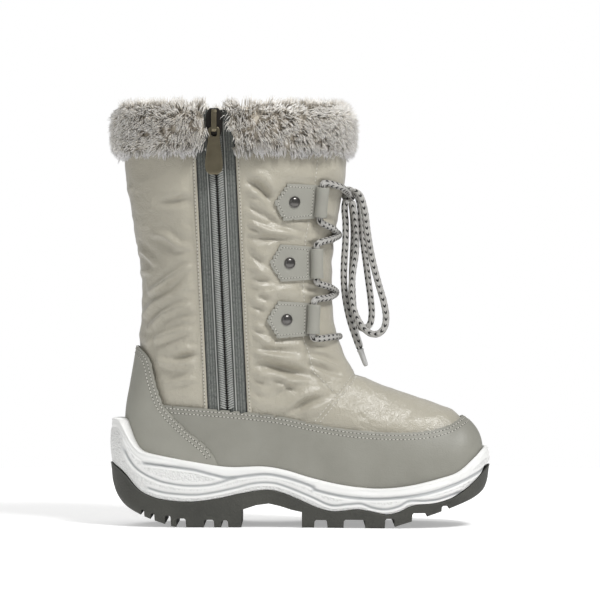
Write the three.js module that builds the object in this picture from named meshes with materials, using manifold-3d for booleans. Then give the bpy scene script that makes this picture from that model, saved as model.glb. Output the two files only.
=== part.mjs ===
// A left snow boot in millimetres: a padded textile upper with a side zip and a fur collar,
// lasted on a cup sole. +X points to the toe, +Y to the outer side, +Z up. The origin is the
// middle of the sole on the floor.
import * as THREE from "three";
import { mergeVertices } from "three/addons/utils/BufferGeometryUtils.js";
import Module from "manifold-3d";

const wasm = await Module();
wasm.setup();

// ---- Driving dimensions ----
const SOLE_LENGTH = 272;
const BALL_WIDTH = 100; // across the sole at the ball of the foot
const SHAFT_HEIGHT = 300; // floor to the top of the shaft, inside the fur
const HEEL_BED = 30; // floor to the foot bed, at the heel
const BALL_BED = 17; // the same at the ball
const WALL = 4.5; // padded textile with its plush lining
const GAP = 0.3; // between pieces that meet
const LEATHER = 1.3;
const INSOLE_THICKNESS = 4.5;
const UPPER_TOP = 292; // the textile's top edge, sewn into the fur
const LACE = 4.8; // diameter of the round lace

// ---- Small tools ----
const clamp = (value, low, high) => Math.min(high, Math.max(low, value));
const smooth = (value) => {
  const t = clamp(value, 0, 1);
  return t * t * (3 - 2 * t);
};
const mix = (a, b, t) => a + (b - a) * t;
const point = (x, y, z) => new THREE.Vector3(x, y, z);

// A closed three.js geometry as a manifold-3d solid.
function solid(geometry) {
  const bare = geometry.index ? geometry.toNonIndexed() : geometry.clone();
  for (const name of Object.keys(bare.attributes)) {
    if (name !== "position") bare.deleteAttribute(name);
  }
  const merged = mergeVertices(bare, 1e-4);
  return new wasm.Manifold(
    new wasm.Mesh({
      numProp: 3,
      vertProperties: merged.attributes.position.array,
      triVerts: new Uint32Array(merged.index.array),
    }),
  );
}

// A manifold-3d solid as a three.js geometry.
function geometryOf(made) {
  const mesh = made.getMesh();
  return new THREE.BufferGeometry()
    .setAttribute("position", new THREE.BufferAttribute(mesh.vertProperties, 3))
    .setIndex(new THREE.BufferAttribute(mesh.triVerts, 1));
}

// A closed solid through rings of equal counts, with a fan at each end or, where it is a band
// that meets itself, none.
function loft(rings, meetsItself = false) {
  const count = rings[0].length;
  const points = rings.flat();
  const faces = [];
  const strips = meetsItself ? rings.length : rings.length - 1;
  for (let i = 0; i < strips; i += 1) {
    const here = i * count;
    const next = ((i + 1) % rings.length) * count;
    for (let j = 0; j < count; j += 1) {
      const k = (j + 1) % count;
      faces.push([here + j, here + k, next + j]);
      faces.push([here + k, next + k, next + j]);
    }
  }
  if (!meetsItself) {
    for (const end of [0, rings.length - 1]) {
      const middle = rings[end].reduce((sum, p) => sum.add(p), point(0, 0, 0));
      points.push(middle.divideScalar(count));
      for (let j = 0; j < count; j += 1) {
        const k = (j + 1) % count;
        const edge = end === 0 ? [k, j] : [j, k];
        faces.push([points.length - 1, end * count + edge[0], end * count + edge[1]]);
      }
    }
  }
  const made = (order) =>
    solid(
      new THREE.BufferGeometry()
        .setFromPoints(points)
        .setIndex(faces.flatMap((face) => order.map((n) => face[n]))),
    );
  const tried = made([0, 1, 2]);
  return tried.volume() > 0 ? tried : made([0, 2, 1]);
}

// A side-view outline of [x, z] pairs, extruded across the boot from one y to another.
function prism(outline, fromY = -100, toY = 100) {
  const shape = new THREE.Shape(outline.map(([x, z]) => new THREE.Vector2(x, z)));
  const geometry = new THREE.ExtrudeGeometry(shape, { depth: toY - fromY, bevelEnabled: false });
  return solid(geometry.rotateX(Math.PI / 2).translate(0, toY, 0));
}

// Points along a smooth side-view line through [x, z] rows.
function line(rows, steps) {
  const curve = new THREE.SplineCurve(rows.map(([x, z]) => new THREE.Vector2(x, z)));
  return curve.getPoints(steps).map((p) => [p.x, p.y]);
}

// The height of a side-view line at one x.
function heightAt(points, x) {
  const n = points.findIndex(([px]) => px > x);
  if (n === 0) return points[0][1];
  if (n < 0) return points[points.length - 1][1];
  const [a, b] = [points[n - 1], points[n]];
  return mix(a[1], b[1], (x - a[0]) / (b[0] - a[0]));
}

const FAR = 400;
const raised = (points, by) => points.map(([x, z]) => [x, z + by]);
const above = (points) => prism([...points, [FAR, FAR], [-FAR, FAR]]);
const below = (points) => prism([...points, [FAR, -FAR], [-FAR, -FAR]]);
const level = (z) => [[-FAR, z], [FAR, z]];

// ---- The last: sections from the collar, round the heel and instep, to the toe ----
// Each section is a flat ring between a front point (shin, instep, top of the toes) and a back
// point (calf, heel, underfoot). x is in hundredths of the sole length, z of the shaft height and
// the half widths of the ball width. widest is how far along from back to front the ring is
// broadest. Roundness 2 is an ellipse, and more is squarer.
const SECTION_COLUMNS = [
  "frontX", "frontZ", "backX", "backZ", "widest", "inner", "outer", "middle", "frontRound",
  "backRound",
];
const SECTIONS = [
  [12.2, 100, -46.2, 100, 0.5, 50, 50, 0, 2.3, 2.3],
  [11.4, 83.7, -45.4, 83.7, 0.5, 49, 49, 0, 2.3, 2.3],
  [9, 72, -43.5, 72, 0.5, 47.5, 47.5, 0, 2.3, 2.3],
  [8.1, 61.7, -41.6, 61.7, 0.5, 46, 46, 0, 2.3, 2.3],
  [8.1, 52, -41.2, 52, 0.5, 44.5, 44.5, 0, 2.25, 2.3],
  [9.4, 44.7, -42.1, 44.7, 0.5, 43, 43, 0, 2.2, 2.35],
  [11.8, 39.3, -43.1, 39, 0.5, 41.5, 41.5, 0, 2.2, 2.4],
  [14.5, 36, -44.1, 33.7, 0.5, 40.2, 40.2, 0, 2.2, 2.5],
  [17.8, 34.5, -45.2, 27.7, 0.5, 39.2, 39.2, 0, 2.2, 2.55],
  [21.6, 33.1, -45.3, 21.3, 0.5, 38.6, 38.6, 0, 2.2, 2.6],
  [25, 32, -44.5, 14.5, 0.5, 38.4, 38.6, 0, 2.2, 2.7],
  [28.7, 30.8, -39.7, 7.3, 0.5, 38.8, 39.2, 0, 2.2, 2.9],
  [32, 29.7, -27.6, 4.3, 0.5, 39.6, 40.2, 0.3, 2.2, 3],
  [34.9, 28.8, -11, 2.7, 0.48, 40.8, 41.8, 0.4, 2.2, 3],
  [37.9, 27.8, 5.5, 1, 0.44, 42, 43, 0, 2.25, 3],
  [40.6, 26.9, 20.2, 0, 0.4, 42, 42.6, -0.8, 2.3, 3],
  [42.8, 25.8, 32.4, 1.7, 0.38, 39.4, 38.4, -2.4, 2.4, 2.9],
  [44.8, 24.4, 39.4, 4.6, 0.4, 33.4, 31.6, -4, 2.4, 2.7],
  [46.4, 22.4, 43.8, 8.3, 0.43, 25, 23.6, -5.2, 2.3, 2.4],
  [47.3, 20.1, 46.4, 12.2, 0.47, 14, 13.4, -5.8, 2.1, 2.2],
  [47.6, 17.7, 47.5, 16, 0.5, 2.6, 2.5, -6, 2, 2],
];
const TOE_SKEW = 0.12; // the ball lies further forward on the inner side
const SKEW_FROM = 11;
const SKEW_FULL = 15;
const ARCH = { x: -22, reach: 52, top: 82, depth: 4 }; // hollow of the inner waist
const LAST_ROW = SECTIONS.length - 1;
const AROUND = 26;

// One column of the table at a fractional row, by Catmull-Rom.
function column(name, row) {
  const c = SECTION_COLUMNS.indexOf(name);
  const n = Math.min(Math.floor(row), LAST_ROW - 1);
  const t = row - n;
  const at = (k) => SECTIONS[clamp(k, 0, LAST_ROW)][c];
  const [a, b, d, e] = [at(n - 1), at(n), at(n + 1), at(n + 2)];
  const slopes = [(d - a) / 2, (e - b) / 2];
  return (
    b + slopes[0] * t +
    (3 * (d - b) - 2 * slopes[0] - slopes[1]) * t * t +
    (2 * (b - d) + slopes[0] + slopes[1]) * t * t * t
  );
}

// A point of the last's surface. turn is 0 at the front point, and grows towards the inner side.
function lastPoint(row, turn) {
  const get = (name) => column(name, row);
  const front = [(get("frontX") * SOLE_LENGTH) / 100, (get("frontZ") * SHAFT_HEIGHT) / 100];
  const back = [(get("backX") * SOLE_LENGTH) / 100, (get("backZ") * SHAFT_HEIGHT) / 100];
  const [cos, sin] = [Math.cos(turn), Math.sin(turn)];
  const power = 2 / get(cos > 0 ? "frontRound" : "backRound");
  const along = Math.sign(cos) * Math.abs(cos) ** power;
  const across = Math.sign(sin) * Math.abs(sin) ** power;
  const widest = get("widest");
  const t = widest + along * (along > 0 ? 1 - widest : widest);
  const half = (get(across > 0 ? "inner" : "outer") * BALL_WIDTH) / 100;
  const skew = TOE_SKEW * smooth((row - SKEW_FROM) / (SKEW_FULL - SKEW_FROM));
  const z = mix(back[1], front[1], t);
  const x = mix(back[0], front[0], t) + skew * across * half;
  const hollow =
    ARCH.depth * smooth(1 - Math.abs(x - ARCH.x) / ARCH.reach) * smooth((ARCH.top - z) / ARCH.top);
  const y = get("middle") - across * half + (across > 0 ? hollow * across : 0);
  return point(x, y, z);
}

function lastNormal(row, turn) {
  const step = 0.02;
  const low = Math.max(row - step, 0);
  const high = Math.min(row + step, LAST_ROW);
  const lengthways = lastPoint(high, turn).sub(lastPoint(low, turn));
  const round = lastPoint(row, turn + step).sub(lastPoint(row, turn - step));
  return round.cross(lengthways).normalize();
}

const offLast = (row, turn, out) => lastPoint(row, turn).addScaledVector(lastNormal(row, turn), out);

// The last's surface moved outwards (or inwards) by a distance, as a closed solid whose top end
// runs up past the collar.
function lastForm(out) {
  const rings = SECTIONS.map((_, row) =>
    Array.from({ length: AROUND }, (__, k) =>
      offLast(row, ((k + 0.5) / AROUND) * Math.PI * 2, out),
    ),
  );
  rings.unshift(rings[0].map((p) => p.clone().setZ(p.z + 40)));
  return loft(rings);
}

// ---- The sole's lines in side view, as [x, z] rows ----
const TREAD_LINE = line(
  [
    [-137, 33], [-132, 23], [-124, 14.5], [-112, 8], [-100, 3.6], [-86, 0], [-60, 0], [-20, 0],
    [20, 0], [60, 0], [72, 2.6], [84, 6.4], [98, 11], [112, 16], [124, 21], [133, 27], [137, 34],
  ],
  26,
).map(([x, z]) => [x, Math.max(z, 0)]);
const PART_LINE = line(
  [
    [-140, 48], [-130, 42], [-124, 37], [-118, 30], [-112, 25], [-100, 20.5], [-80, 18.5],
    [-60, 20.5], [-43, 24.2], [-24, 27.2], [-12, 25], [0, 20], [12, 14.8], [24, 12], [40, 13.6],
    [50, 12.2], [61, 10.2], [70, 12], [80, 16.5], [95, 18], [107, 21.3], [119, 28.5], [130, 39],
    [140, 48],
  ],
  36,
);
const RIM_LINE = line(
  [
    [-140, 77], [-131, 76.5], [-127, 71.5], [-120, 60], [-113, 54], [-100, 51], [-72, 46.2],
    [-50, 43.2], [-26, 43.6], [-10, 41], [9, 35.4], [32, 30.3], [55, 28.2], [78, 30.3],
    [101, 35.7], [113, 40], [124, 49.5], [131, 55.5], [140, 58],
  ],
  48,
);
const BED_LINE = line(
  [
    [-140, HEEL_BED], [-100, HEEL_BED], [-60, HEEL_BED], [-20, mix(BALL_BED, HEEL_BED, 0.62)],
    [20, mix(BALL_BED, HEEL_BED, 0.16)], [50, BALL_BED], [80, BALL_BED + 2], [102, BALL_BED + 6],
    [118, BALL_BED + 11.5], [130, BALL_BED + 18], [140, BALL_BED + 24],
  ],
  18,
);

// ---- The sole's plan: half widths along its length, all in hundredths ----
const PLAN_COLUMNS = ["x", "inner", "outer"];
const PLAN = [
  [-48.8, 15, 15],
  [-46, 26, 26],
  [-40, 34.5, 35],
  [-30, 39, 40],
  [-16, 39, 43],
  [0, 40.5, 46],
  [14, 46, 49.5],
  [24, 49.5, 50.5],
  [32, 50, 48],
  [39, 46.5, 41],
  [44.5, 39, 30],
  [48, 28, 15.5],
  [49.8, 15, 1],
];
const HEEL_TIP = [-50, 0];

function solePlan(count) {
  const at = (row, name) => row[PLAN_COLUMNS.indexOf(name)];
  const place = (x, y) => point((x * SOLE_LENGTH) / 100, (y * BALL_WIDTH) / 100, 0);
  const curve = new THREE.CatmullRomCurve3(
    [
      place(...HEEL_TIP),
      ...PLAN.map((row) => place(at(row, "x"), at(row, "outer"))),
      ...PLAN.toReversed().map((row) => place(at(row, "x"), -at(row, "inner"))),
    ],
    true,
    "centripetal",
  );
  return Array.from({ length: count }, (_, k) => {
    const ahead = curve.getTangentAt(k / count);
    return { at: curve.getPointAt(k / count), out: point(-ahead.y, ahead.x, 0) };
  });
}

// The whole sole as one form, from the tread up to the rim, before it is parted and cupped.
const SOLE_LEVELS = [
  { base: TREAD_LINE, rise: -15, out: -7 },
  { base: TREAD_LINE, rise: 0, out: -5 },
  { base: TREAD_LINE, rise: 1.2, out: -3 },
  { base: TREAD_LINE, rise: 5, out: -1 },
  { base: PART_LINE, rise: 0, out: 0 },
  { base: RIM_LINE, rise: -3, out: -0.4 },
  { base: RIM_LINE, rise: -0.6, out: -1 },
  { base: RIM_LINE, rise: 0, out: -2.2 },
  { base: RIM_LINE, rise: 0, out: -16, flat: true },
];

function soleForm() {
  const plan = solePlan(42);
  const rings = SOLE_LEVELS.map(({ base, rise, out, flat }) =>
    plan.map((edge) => {
      const p = edge.at.clone().addScaledVector(edge.out, out);
      return p.setZ(heightAt(base, flat ? edge.at.x : p.x) + rise);
    }),
  );
  return loft(rings).intersect(above(TREAD_LINE));
}

// ---- The tread: grooves across, two channels along and the arch, cut into the outsole ----
const GROOVE_COLUMNS = ["from", "to", "top"];
const GROOVES = [
  [-106, -103.4, 10],
  [-95.6, -91.8, 8.6],
  [-87.5, -81, 6.5],
  [-68, -61, 5.6],
  [-55.6, -51, 5.2],
  [10.5, 19.5, 5.6],
  [31.3, 46.3, 6],
  [60.5, 67, 7],
  [79.5, 90, 11],
  [100.5, 105.7, 16],
  [117, 122.6, 21.6],
];
const ARCH_CUT = [
  [-41.5, -5], [-41.5, 12.6], [-37, 14], [-31, 16], [-22, 17.2], [-14, 15.4], [-6, 12.8],
  [1.5, 11.2], [1.5, -5],
];
const CHANNEL = { y: 17, width: 6, depth: 4.5, from: -114, to: 114 };

function tread(form) {
  let made = form.subtract(prism(ARCH_CUT));
  for (const row of GROOVES) {
    const [from, to, top] = GROOVE_COLUMNS.map((name) => row[GROOVE_COLUMNS.indexOf(name)]);
    made = made.subtract(prism([[from, -5], [from, top], [to, top], [to, -5]]));
  }
  const along = TREAD_LINE.filter(([x]) => x > CHANNEL.from && x < CHANNEL.to);
  const outline = [...raised(along, CHANNEL.depth), [CHANNEL.to, -20], [CHANNEL.from, -20]];
  for (const side of [-1, 1]) {
    const middle = side * CHANNEL.y;
    made = made.subtract(
      prism(outline, middle - CHANNEL.width / 2, middle + CHANNEL.width / 2),
    );
  }
  return made;
}

// ---- The sole, insole and upper ----
const OVERLAY = GAP + LEATHER; // outside of the rand and counter, off the last
const FOAM = { under: 4, side: 1.6 }; // least thickness of the midsole under and beside the foot

const outer = lastForm(0);
const inner = lastForm(-WALL);
const aboveBed = above(BED_LINE);
const tub = (grow) =>
  lastForm(OVERLAY + GAP + FOAM.side + grow).intersect(
    above(raised(BED_LINE, -FOAM.under - grow)),
  );
const wholeSole = soleForm();

const midsole = wholeSole
  .intersect(above(PART_LINE).add(tub(0)))
  .subtract(lastForm(OVERLAY + GAP).intersect(aboveBed));
const outsole = tread(wholeSole.subtract(above(raised(PART_LINE, -GAP)).add(tub(GAP))));
const insole = lastForm(-WALL - 2 * GAP)
  .intersect(above(raised(BED_LINE, GAP)))
  .intersect(below(raised(BED_LINE, GAP + INSOLE_THICKNESS)));

// ---- The zip, straight up the inner side ----
const ZIP = { bottom: 78, top: UPPER_TOP, x: -51, lean: -0.045, tapeHalf: 14.5, tape: 1 };
const COIL = { bottom: 84.5, half: 5.4, high: 1.6, slit: 3 };
const zipX = (z) => ZIP.x + (z - ZIP.bottom) * ZIP.lean;

// A strip beside the zip's middle line, from one distance to another (forwards is positive),
// between two distances off the last.
function zipStrip(from, to, low, high, bottom = ZIP.bottom, top = ZIP.top) {
  const edge = (z, by) => [zipX(z) + by, z];
  const outline = [edge(bottom, from), edge(bottom, to), edge(top, to), edge(top, from)];
  return lastForm(high).subtract(lastForm(low)).intersect(prism(outline, -100, 0));
}

const coilRow = (from, to) => zipStrip(from, to, GAP, GAP + COIL.high, COIL.bottom);

const upper = outer
  .subtract(inner)
  .intersect(above(raised(BED_LINE, GAP)))
  .intersect(below(level(UPPER_TOP)))
  .subtract(
    zipStrip(-ZIP.tapeHalf - GAP, ZIP.tapeHalf + GAP, -ZIP.tape - GAP, 5, ZIP.bottom - GAP, FAR),
  )
  .subtract(zipStrip(-COIL.slit / 2, COIL.slit / 2, -20, 5, ZIP.bottom, FAR));

// ---- The leather overlays, cut between two larger forms ----
const RAND_EDGE = line(
  [
    [-140, 92], [-96, 87], [-43, 82.6], [-14, 79], [15, 72.6], [40, 68.6], [68, 66.8],
    [90, 67.8], [106, 71.6], [118, 79], [126, 87],
  ],
  20,
);
const COUNTER_EDGE = line(
  [
    [-126, 133], [-115.4, 128.8], [-106, 119.4], [-101.6, 102], [-95.5, 86], [-80.7, 70],
    [-65.3, 56.6], [-58, 44], [-54, 30],
  ],
  14,
);
const leather = lastForm(OVERLAY)
  .subtract(lastForm(GAP))
  .intersect(above(raised(BED_LINE, GAP)));
const behind = (by) =>
  prism([...COUNTER_EDGE.map(([x, z]) => [x + by, z]), [-54, -FAR], [-FAR, -FAR], [-FAR, 133]]);
const heelCounter = leather.intersect(behind(0));
const rand = leather.intersect(below(RAND_EDGE)).subtract(behind(GAP));

// ---- The fur collar: a roll over the upper's top edge, parted at the zip ----
// Its section, as distance off the last and height, from the outer foot over the top.
const FUR_SECTION = [
  [0.8, 264], [6.5, 265], [9.4, 274], [9.8, 286], [7.6, 297], [1.5, 303.5], [-6, 303],
  [-12, 297], [-14, 285], [-12.5, 271], [-7, 267.5], [-1.5, 282],
];
const PARTING = { behind: -7.8, ahead: 7.6 }; // the collar's gap, either side of the zip's middle

function furCollar() {
  const around = 26;
  const rings = Array.from({ length: around }, (_, k) => {
    const turn = ((k + 0.5) / around) * Math.PI * 2;
    return FUR_SECTION.map(([out, z]) => offLast(shaftRow(z), turn, out).setZ(z));
  });
  const wall = lastForm(GAP)
    .subtract(lastForm(-WALL - GAP))
    .intersect(below(level(UPPER_TOP + GAP)));
  const part = prism(
    [
      [zipX(250) + PARTING.behind, 250],
      [zipX(250) + PARTING.ahead, 250],
      [zipX(320) + PARTING.ahead, 320],
      [zipX(320) + PARTING.behind, 320],
    ],
    -100,
    0,
  );
  return loft(rings, true).subtract(wall).subtract(part);
}

// The row of the shaft's flat section at one height.
function shaftRow(z) {
  let [low, high] = [0, 5];
  if (z >= SHAFT_HEIGHT) return 0;
  for (let n = 0; n < 30; n += 1) {
    const row = (low + high) / 2;
    if ((column("frontZ", row) * SHAFT_HEIGHT) / 100 > z) low = row;
    else high = row;
  }
  return (low + high) / 2;
}

// The row and turn where the last has one x and z in side view. side is -1 on the inner side.
function spot(x, z, side) {
  const miss = ([row, turn]) => {
    const p = lastPoint(row, turn);
    return Math.hypot(p.x - x, p.z - z);
  };
  let best = [4, -side * 1.5];
  let step = [1, 0.3];
  while (step[0] > 1e-4) {
    const tries = [-1, 0, 1].flatMap((a) =>
      [-1, 0, 1].map((b) => [
        clamp(best[0] + a * step[0], 0, LAST_ROW),
        best[1] + b * step[1],
      ]),
    );
    const next = tries.reduce((p, q) => (miss(q) < miss(p) ? q : p), best);
    if (next === best) step = step.map((size) => size / 2);
    best = next;
  }
  return best;
}

// ---- The lace tabs: a leather plate with its point to the rear, rolled in front to a tunnel ----
const TAB_COLUMNS = ["x", "z", "lean"];
const TABS = [
  [-18.5, 230.6, 0.1],
  [-22, 187.8, 0],
  [-24, 147.6, 0.02],
];
const TAB = { shoulder: 8, front: 31, half: 13.2 };
const TUNNEL = { bore: 3, radius: 4.6, half: 9.8, past: 3.2 };
const RIVET = { radius: 4.1, high: 1.9, x: 14.2 };
const tabAt = (row, name) => TABS[row][TAB_COLUMNS.indexOf(name)];

// A place on a tab: how far in front of its point and above its middle.
function tabPlace(row, ahead, up) {
  const lean = tabAt(row, "lean");
  return [tabAt(row, "x") + ahead + up * lean, tabAt(row, "z") + up + ahead * lean * 0.3];
}

function tunnelEnds(row, side) {
  return [-1, 1].map((end) => {
    const [x, z] = tabPlace(row, TAB.front, end * TUNNEL.half);
    return offLast(...spot(x, z, side), GAP + TUNNEL.radius);
  });
}

// A turned profile, stood on a place with its axis along a direction.
function turned(profile, at, axis, segments) {
  const geometry = new THREE.LatheGeometry(
    profile.map(([r, h]) => new THREE.Vector2(r, h)),
    segments,
  );
  const turn = new THREE.Quaternion().setFromUnitVectors(point(0, 1, 0), axis);
  return solid(geometry.applyQuaternion(turn).translate(at.x, at.y, at.z));
}

function laceTab(row, side) {
  const outline = [
    tabPlace(row, 0, 0),
    tabPlace(row, TAB.shoulder, TAB.half),
    tabPlace(row, TAB.front, TAB.half - 1.6),
    tabPlace(row, TAB.front, -TAB.half + 1.6),
    tabPlace(row, TAB.shoulder, -TAB.half),
  ];
  const plate = lastForm(OVERLAY)
    .subtract(lastForm(GAP))
    .intersect(prism(outline, side < 0 ? -100 : 0, side < 0 ? 0 : 100));
  const [bottom, top] = tunnelEnds(row, side);
  const high = top.distanceTo(bottom);
  const { bore, radius } = TUNNEL;
  const profile = [[bore, 0], [radius, 0], [radius, high], [bore, high], [bore, 0]];
  return plate.add(turned(profile, bottom, top.clone().sub(bottom).normalize(), 10));
}

function rivet(row, side) {
  const [x, z] = tabPlace(row, RIVET.x, 0);
  const [at, turn] = spot(x, z, side);
  const { radius, high } = RIVET;
  const dome = [[0, 0], [radius, 0], [radius, 0.5], [radius * 0.7, high * 0.8], [0, high]];
  return turned(dome, offLast(at, turn, OVERLAY + GAP), lastNormal(at, turn), 10);
}

// ---- The lace ----
const LACE_SIDES = 8;
const FACET = { held: 1.7, free: 2.4 }; // length of a facet of the lace, in diameters
function cord(points, facet) {
  const path = new THREE.CatmullRomCurve3(points, false, "centripetal");
  const section = new THREE.Shape(
    Array.from({ length: LACE_SIDES }, (_, k) => {
      const turn = (k / LACE_SIDES) * Math.PI * 2;
      return new THREE.Vector2(Math.cos(turn), Math.sin(turn)).multiplyScalar(LACE / 2);
    }),
  );
  const steps = Math.ceil(path.getLength() / (facet * LACE));
  return solid(new THREE.ExtrudeGeometry(section, { extrudePath: path, steps }));
}

// A point of the lace on the front of the shaft. degrees grow towards the inner side.
function onShin(z, degrees, clear) {
  return offLast(shaftRow(z), THREE.MathUtils.degToRad(degrees), LACE / 2 + clear);
}

// Half of the lace, from the knot through the first tab of one side, crossing to the other side
// and back, to the middle of the bar between the last tabs.
function halfLace(side, lift) {
  const through = (row, s) => {
    const [bottom, top] = tunnelEnds(row, s);
    const past = TUNNEL.past / top.distanceTo(bottom);
    return [1 + past, 0.95, 0.5, 0.05, -past].map((t) => bottom.clone().lerp(top, t));
  };
  return [
    point(KNOT.x - 1, side * (KNOT.half + 0.6), KNOT.z + 1),
    onShin(243, -side * 24, 3.4),
    ...through(0, side),
    onShin(213, -side * 20, 1.3),
    onShin(209, 0, 0.7 + lift),
    onShin(205.5, side * 20, 1.3),
    ...through(1, -side),
    onShin(171, side * 20, 1.3),
    onShin(167, 0, 0.7 + lift),
    onShin(163.5, -side * 20, 1.3),
    ...through(2, side),
    onShin(134.6, -side * 20, 1.3),
    onShin(134.6, 0, 0.9),
  ];
}

const KNOT = { x: 35.2, z: 238, deep: 5.8, half: 7.5, high: 5.5 };
const lace = cord(halfLace(-1, 0), FACET.held).add(cord(halfLace(1, 1.5), FACET.held));

// ---- The bow ----
function knotForm(grow) {
  const ball = new THREE.SphereGeometry(1, 12, 8).scale(
    KNOT.deep + grow,
    KNOT.half + grow,
    KNOT.high + grow,
  );
  return solid(ball.translate(KNOT.x, 0, KNOT.z));
}

// Each free piece of the lace by its middle line: out of the knot, down and, in a loop, back.
const LOOP_INNER = [
  [38, -4.4, 240.4], [43, -9.2, 237], [46.4, -13.5, 226.5], [48.3, -15.5, 212], [50.3, -16.5, 199],
  [53, -17, 186], [56.6, -17.5, 172.4], [60.3, -18, 159.5], [61.8, -18, 148.6],
  [60.3, -18, 141.4], [56, -18, 137.4], [50.8, -17.5, 137.6], [45.3, -17, 142], [40.4, -16, 150],
  [37.6, -14.5, 160], [37.2, -13.5, 170], [38.2, -12.5, 182], [40, -11.5, 194],
  [40.6, -10.5, 205], [40.2, -10.2, 215], [38.8, -9.8, 225], [37.4, -8, 233.4],
];
const LOOP_OUTER = [
  [38, 4.4, 240.4], [42.4, 8.8, 235.4], [44.6, 12, 222], [46, 14.5, 205], [48, 16.5, 190],
  [50, 18, 175], [51.8, 19, 161], [52.4, 19.3, 151], [51, 19.3, 144], [46.8, 19, 140.8],
  [42.2, 18.5, 143.6], [39.6, 17.5, 152], [38.4, 16, 165], [38, 14.5, 180], [38.6, 13, 194],
  [39.2, 11.8, 208], [38.8, 10.6, 221], [37.4, 8, 233.4],
];
const END_INNER = [
  [33.4, -3, 235], [32.4, -3.6, 228], [33, -4.8, 218], [33, -6.4, 205], [32, -7, 190],
  [31.7, -7.5, 178], [32.6, -8, 165], [35.6, -9, 149], [39.6, -9.5, 136.5], [43.6, -10, 125.5],
];
const END_OUTER = [
  [33.4, 3, 235], [32.4, 3.6, 228], [33.2, 5.2, 218], [33.2, 7.4, 205], [32.4, 9, 190],
  [32, 10, 178], [32.6, 11, 168], [34.6, 11.8, 157], [37.4, 12.2, 147.5], [40.6, 12.6, 138.6],
];
const AGLET = { length: 13, wide: 4.4, narrow: 3 };
const route = (rows) => rows.map(([x, y, z]) => point(x, y, z));

function freeLace(rows) {
  return cord(route(rows), FACET.free).subtract(knotForm(GAP));
}

// The hard sleeve that tapers from the end of a lace, in line with it.
function aglet(rows) {
  const [before, end] = route(rows.slice(-2));
  const axis = end.clone().sub(before).normalize();
  const { length, wide, narrow } = AGLET;
  const profile = [[0, 0], [wide / 2, 0], [narrow / 2, length], [0, length]];
  return turned(profile, end.addScaledVector(axis, GAP), axis, 8);
}

// ---- The slider and its pull ----
// Both lie flat to the inner side: outwards is -Y, measured from the shaft's surface there.
const SLIDER_Z = 287;
const sliderX = zipX(SLIDER_Z);
const surfaceY = lastPoint(...spot(sliderX, SLIDER_Z, -1)).y;
const standing = (outline, low, high) => prism(outline, surfaceY - high, surfaceY - low);
const block = (half, bottom, top) => [
  [sliderX - half, bottom],
  [sliderX + half, bottom],
  [sliderX + half, top],
  [sliderX - half, top],
];
const SLIDER = { low: 2.3, plate: 3.7, window: 6.5, high: 7.7, bridgeHalf: 1.5 };
const BRIDGE = { bottom: 280.1, top: 296, leg: 1.6 };
const HINGE_Z = 282.8;

function zipSlider() {
  const outline = [
    [-5, 278], [5, 278], [6, 284], [5.6, 293], [3, 297], [-3, 297], [-5.6, 293], [-6, 284],
  ].map(([x, z]) => [sliderX + x, z]);
  const { low, plate, window, high, bridgeHalf } = SLIDER;
  const { bottom, top, leg } = BRIDGE;
  return standing(outline, low, plate)
    .add(standing(block(bridgeHalf, bottom, bottom + leg), plate - 0.2, high))
    .add(standing(block(bridgeHalf, top - leg, top), plate - 0.2, high))
    .add(standing(block(bridgeHalf, bottom, top), window, high));
}

// The pull hangs by the bar at its top, which passes inside the bridge. Its outline is half of
// the tab, from the hinge down.
const PULL_HALF = [
  [2.6, 0.8], [4.1, -1], [4.1, -6.5], [4.7, -12], [5.9, -21], [6.25, -26.5], [5.3, -30.6],
  [2.6, -32.8],
];
const PULL = { thick: 1.6, eyeHalf: 2.2, eyeTop: -0.8, eyeBottom: -6 };

function zipPull() {
  const outline = [...PULL_HALF, ...PULL_HALF.toReversed().map(([x, z]) => [-x, z])];
  const middle = (SLIDER.plate + SLIDER.window) / 2 - 0.1;
  const [low, high] = [middle - PULL.thick / 2, middle + PULL.thick / 2];
  const placed = outline.map(([x, z]) => [sliderX + x, HINGE_Z + z]);
  const eye = block(PULL.eyeHalf, HINGE_Z + PULL.eyeBottom, HINGE_Z + PULL.eyeTop);
  return standing(placed, low, high).subtract(standing(eye, 0, 20));
}

// ---- The pieces ----
const FINISHES = {
  nylon: { color: "#a99e90", roughness: 0.5 },
  leather: { color: "#85807a", roughness: 0.6 },
  foam: { color: "#e9e8e3", roughness: 0.6 },
  rubber: { color: "#37373a", roughness: 0.8 },
  felt: { color: "#b8b0a2", roughness: 1 },
  fur: { color: "#cfc5b6", roughness: 1 },
  webbing: { color: "#77726c", roughness: 0.9 },
  coil: { color: "#6b665f", roughness: 0.5 },
  bronze: { color: "#6d5c46", roughness: 0.4, metalness: 1 },
  gunmetal: { color: "#5d5a57", roughness: 0.3, metalness: 1 },
  cord: { color: "#b3b0aa", roughness: 0.9 },
};
const boot = new THREE.Group();

function piece(name, made, finish) {
  const mesh = new THREE.Mesh(
    geometryOf(made),
    new THREE.MeshStandardMaterial({ metalness: 0, ...FINISHES[finish] }),
  );
  mesh.name = name;
  boot.add(mesh);
}

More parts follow.
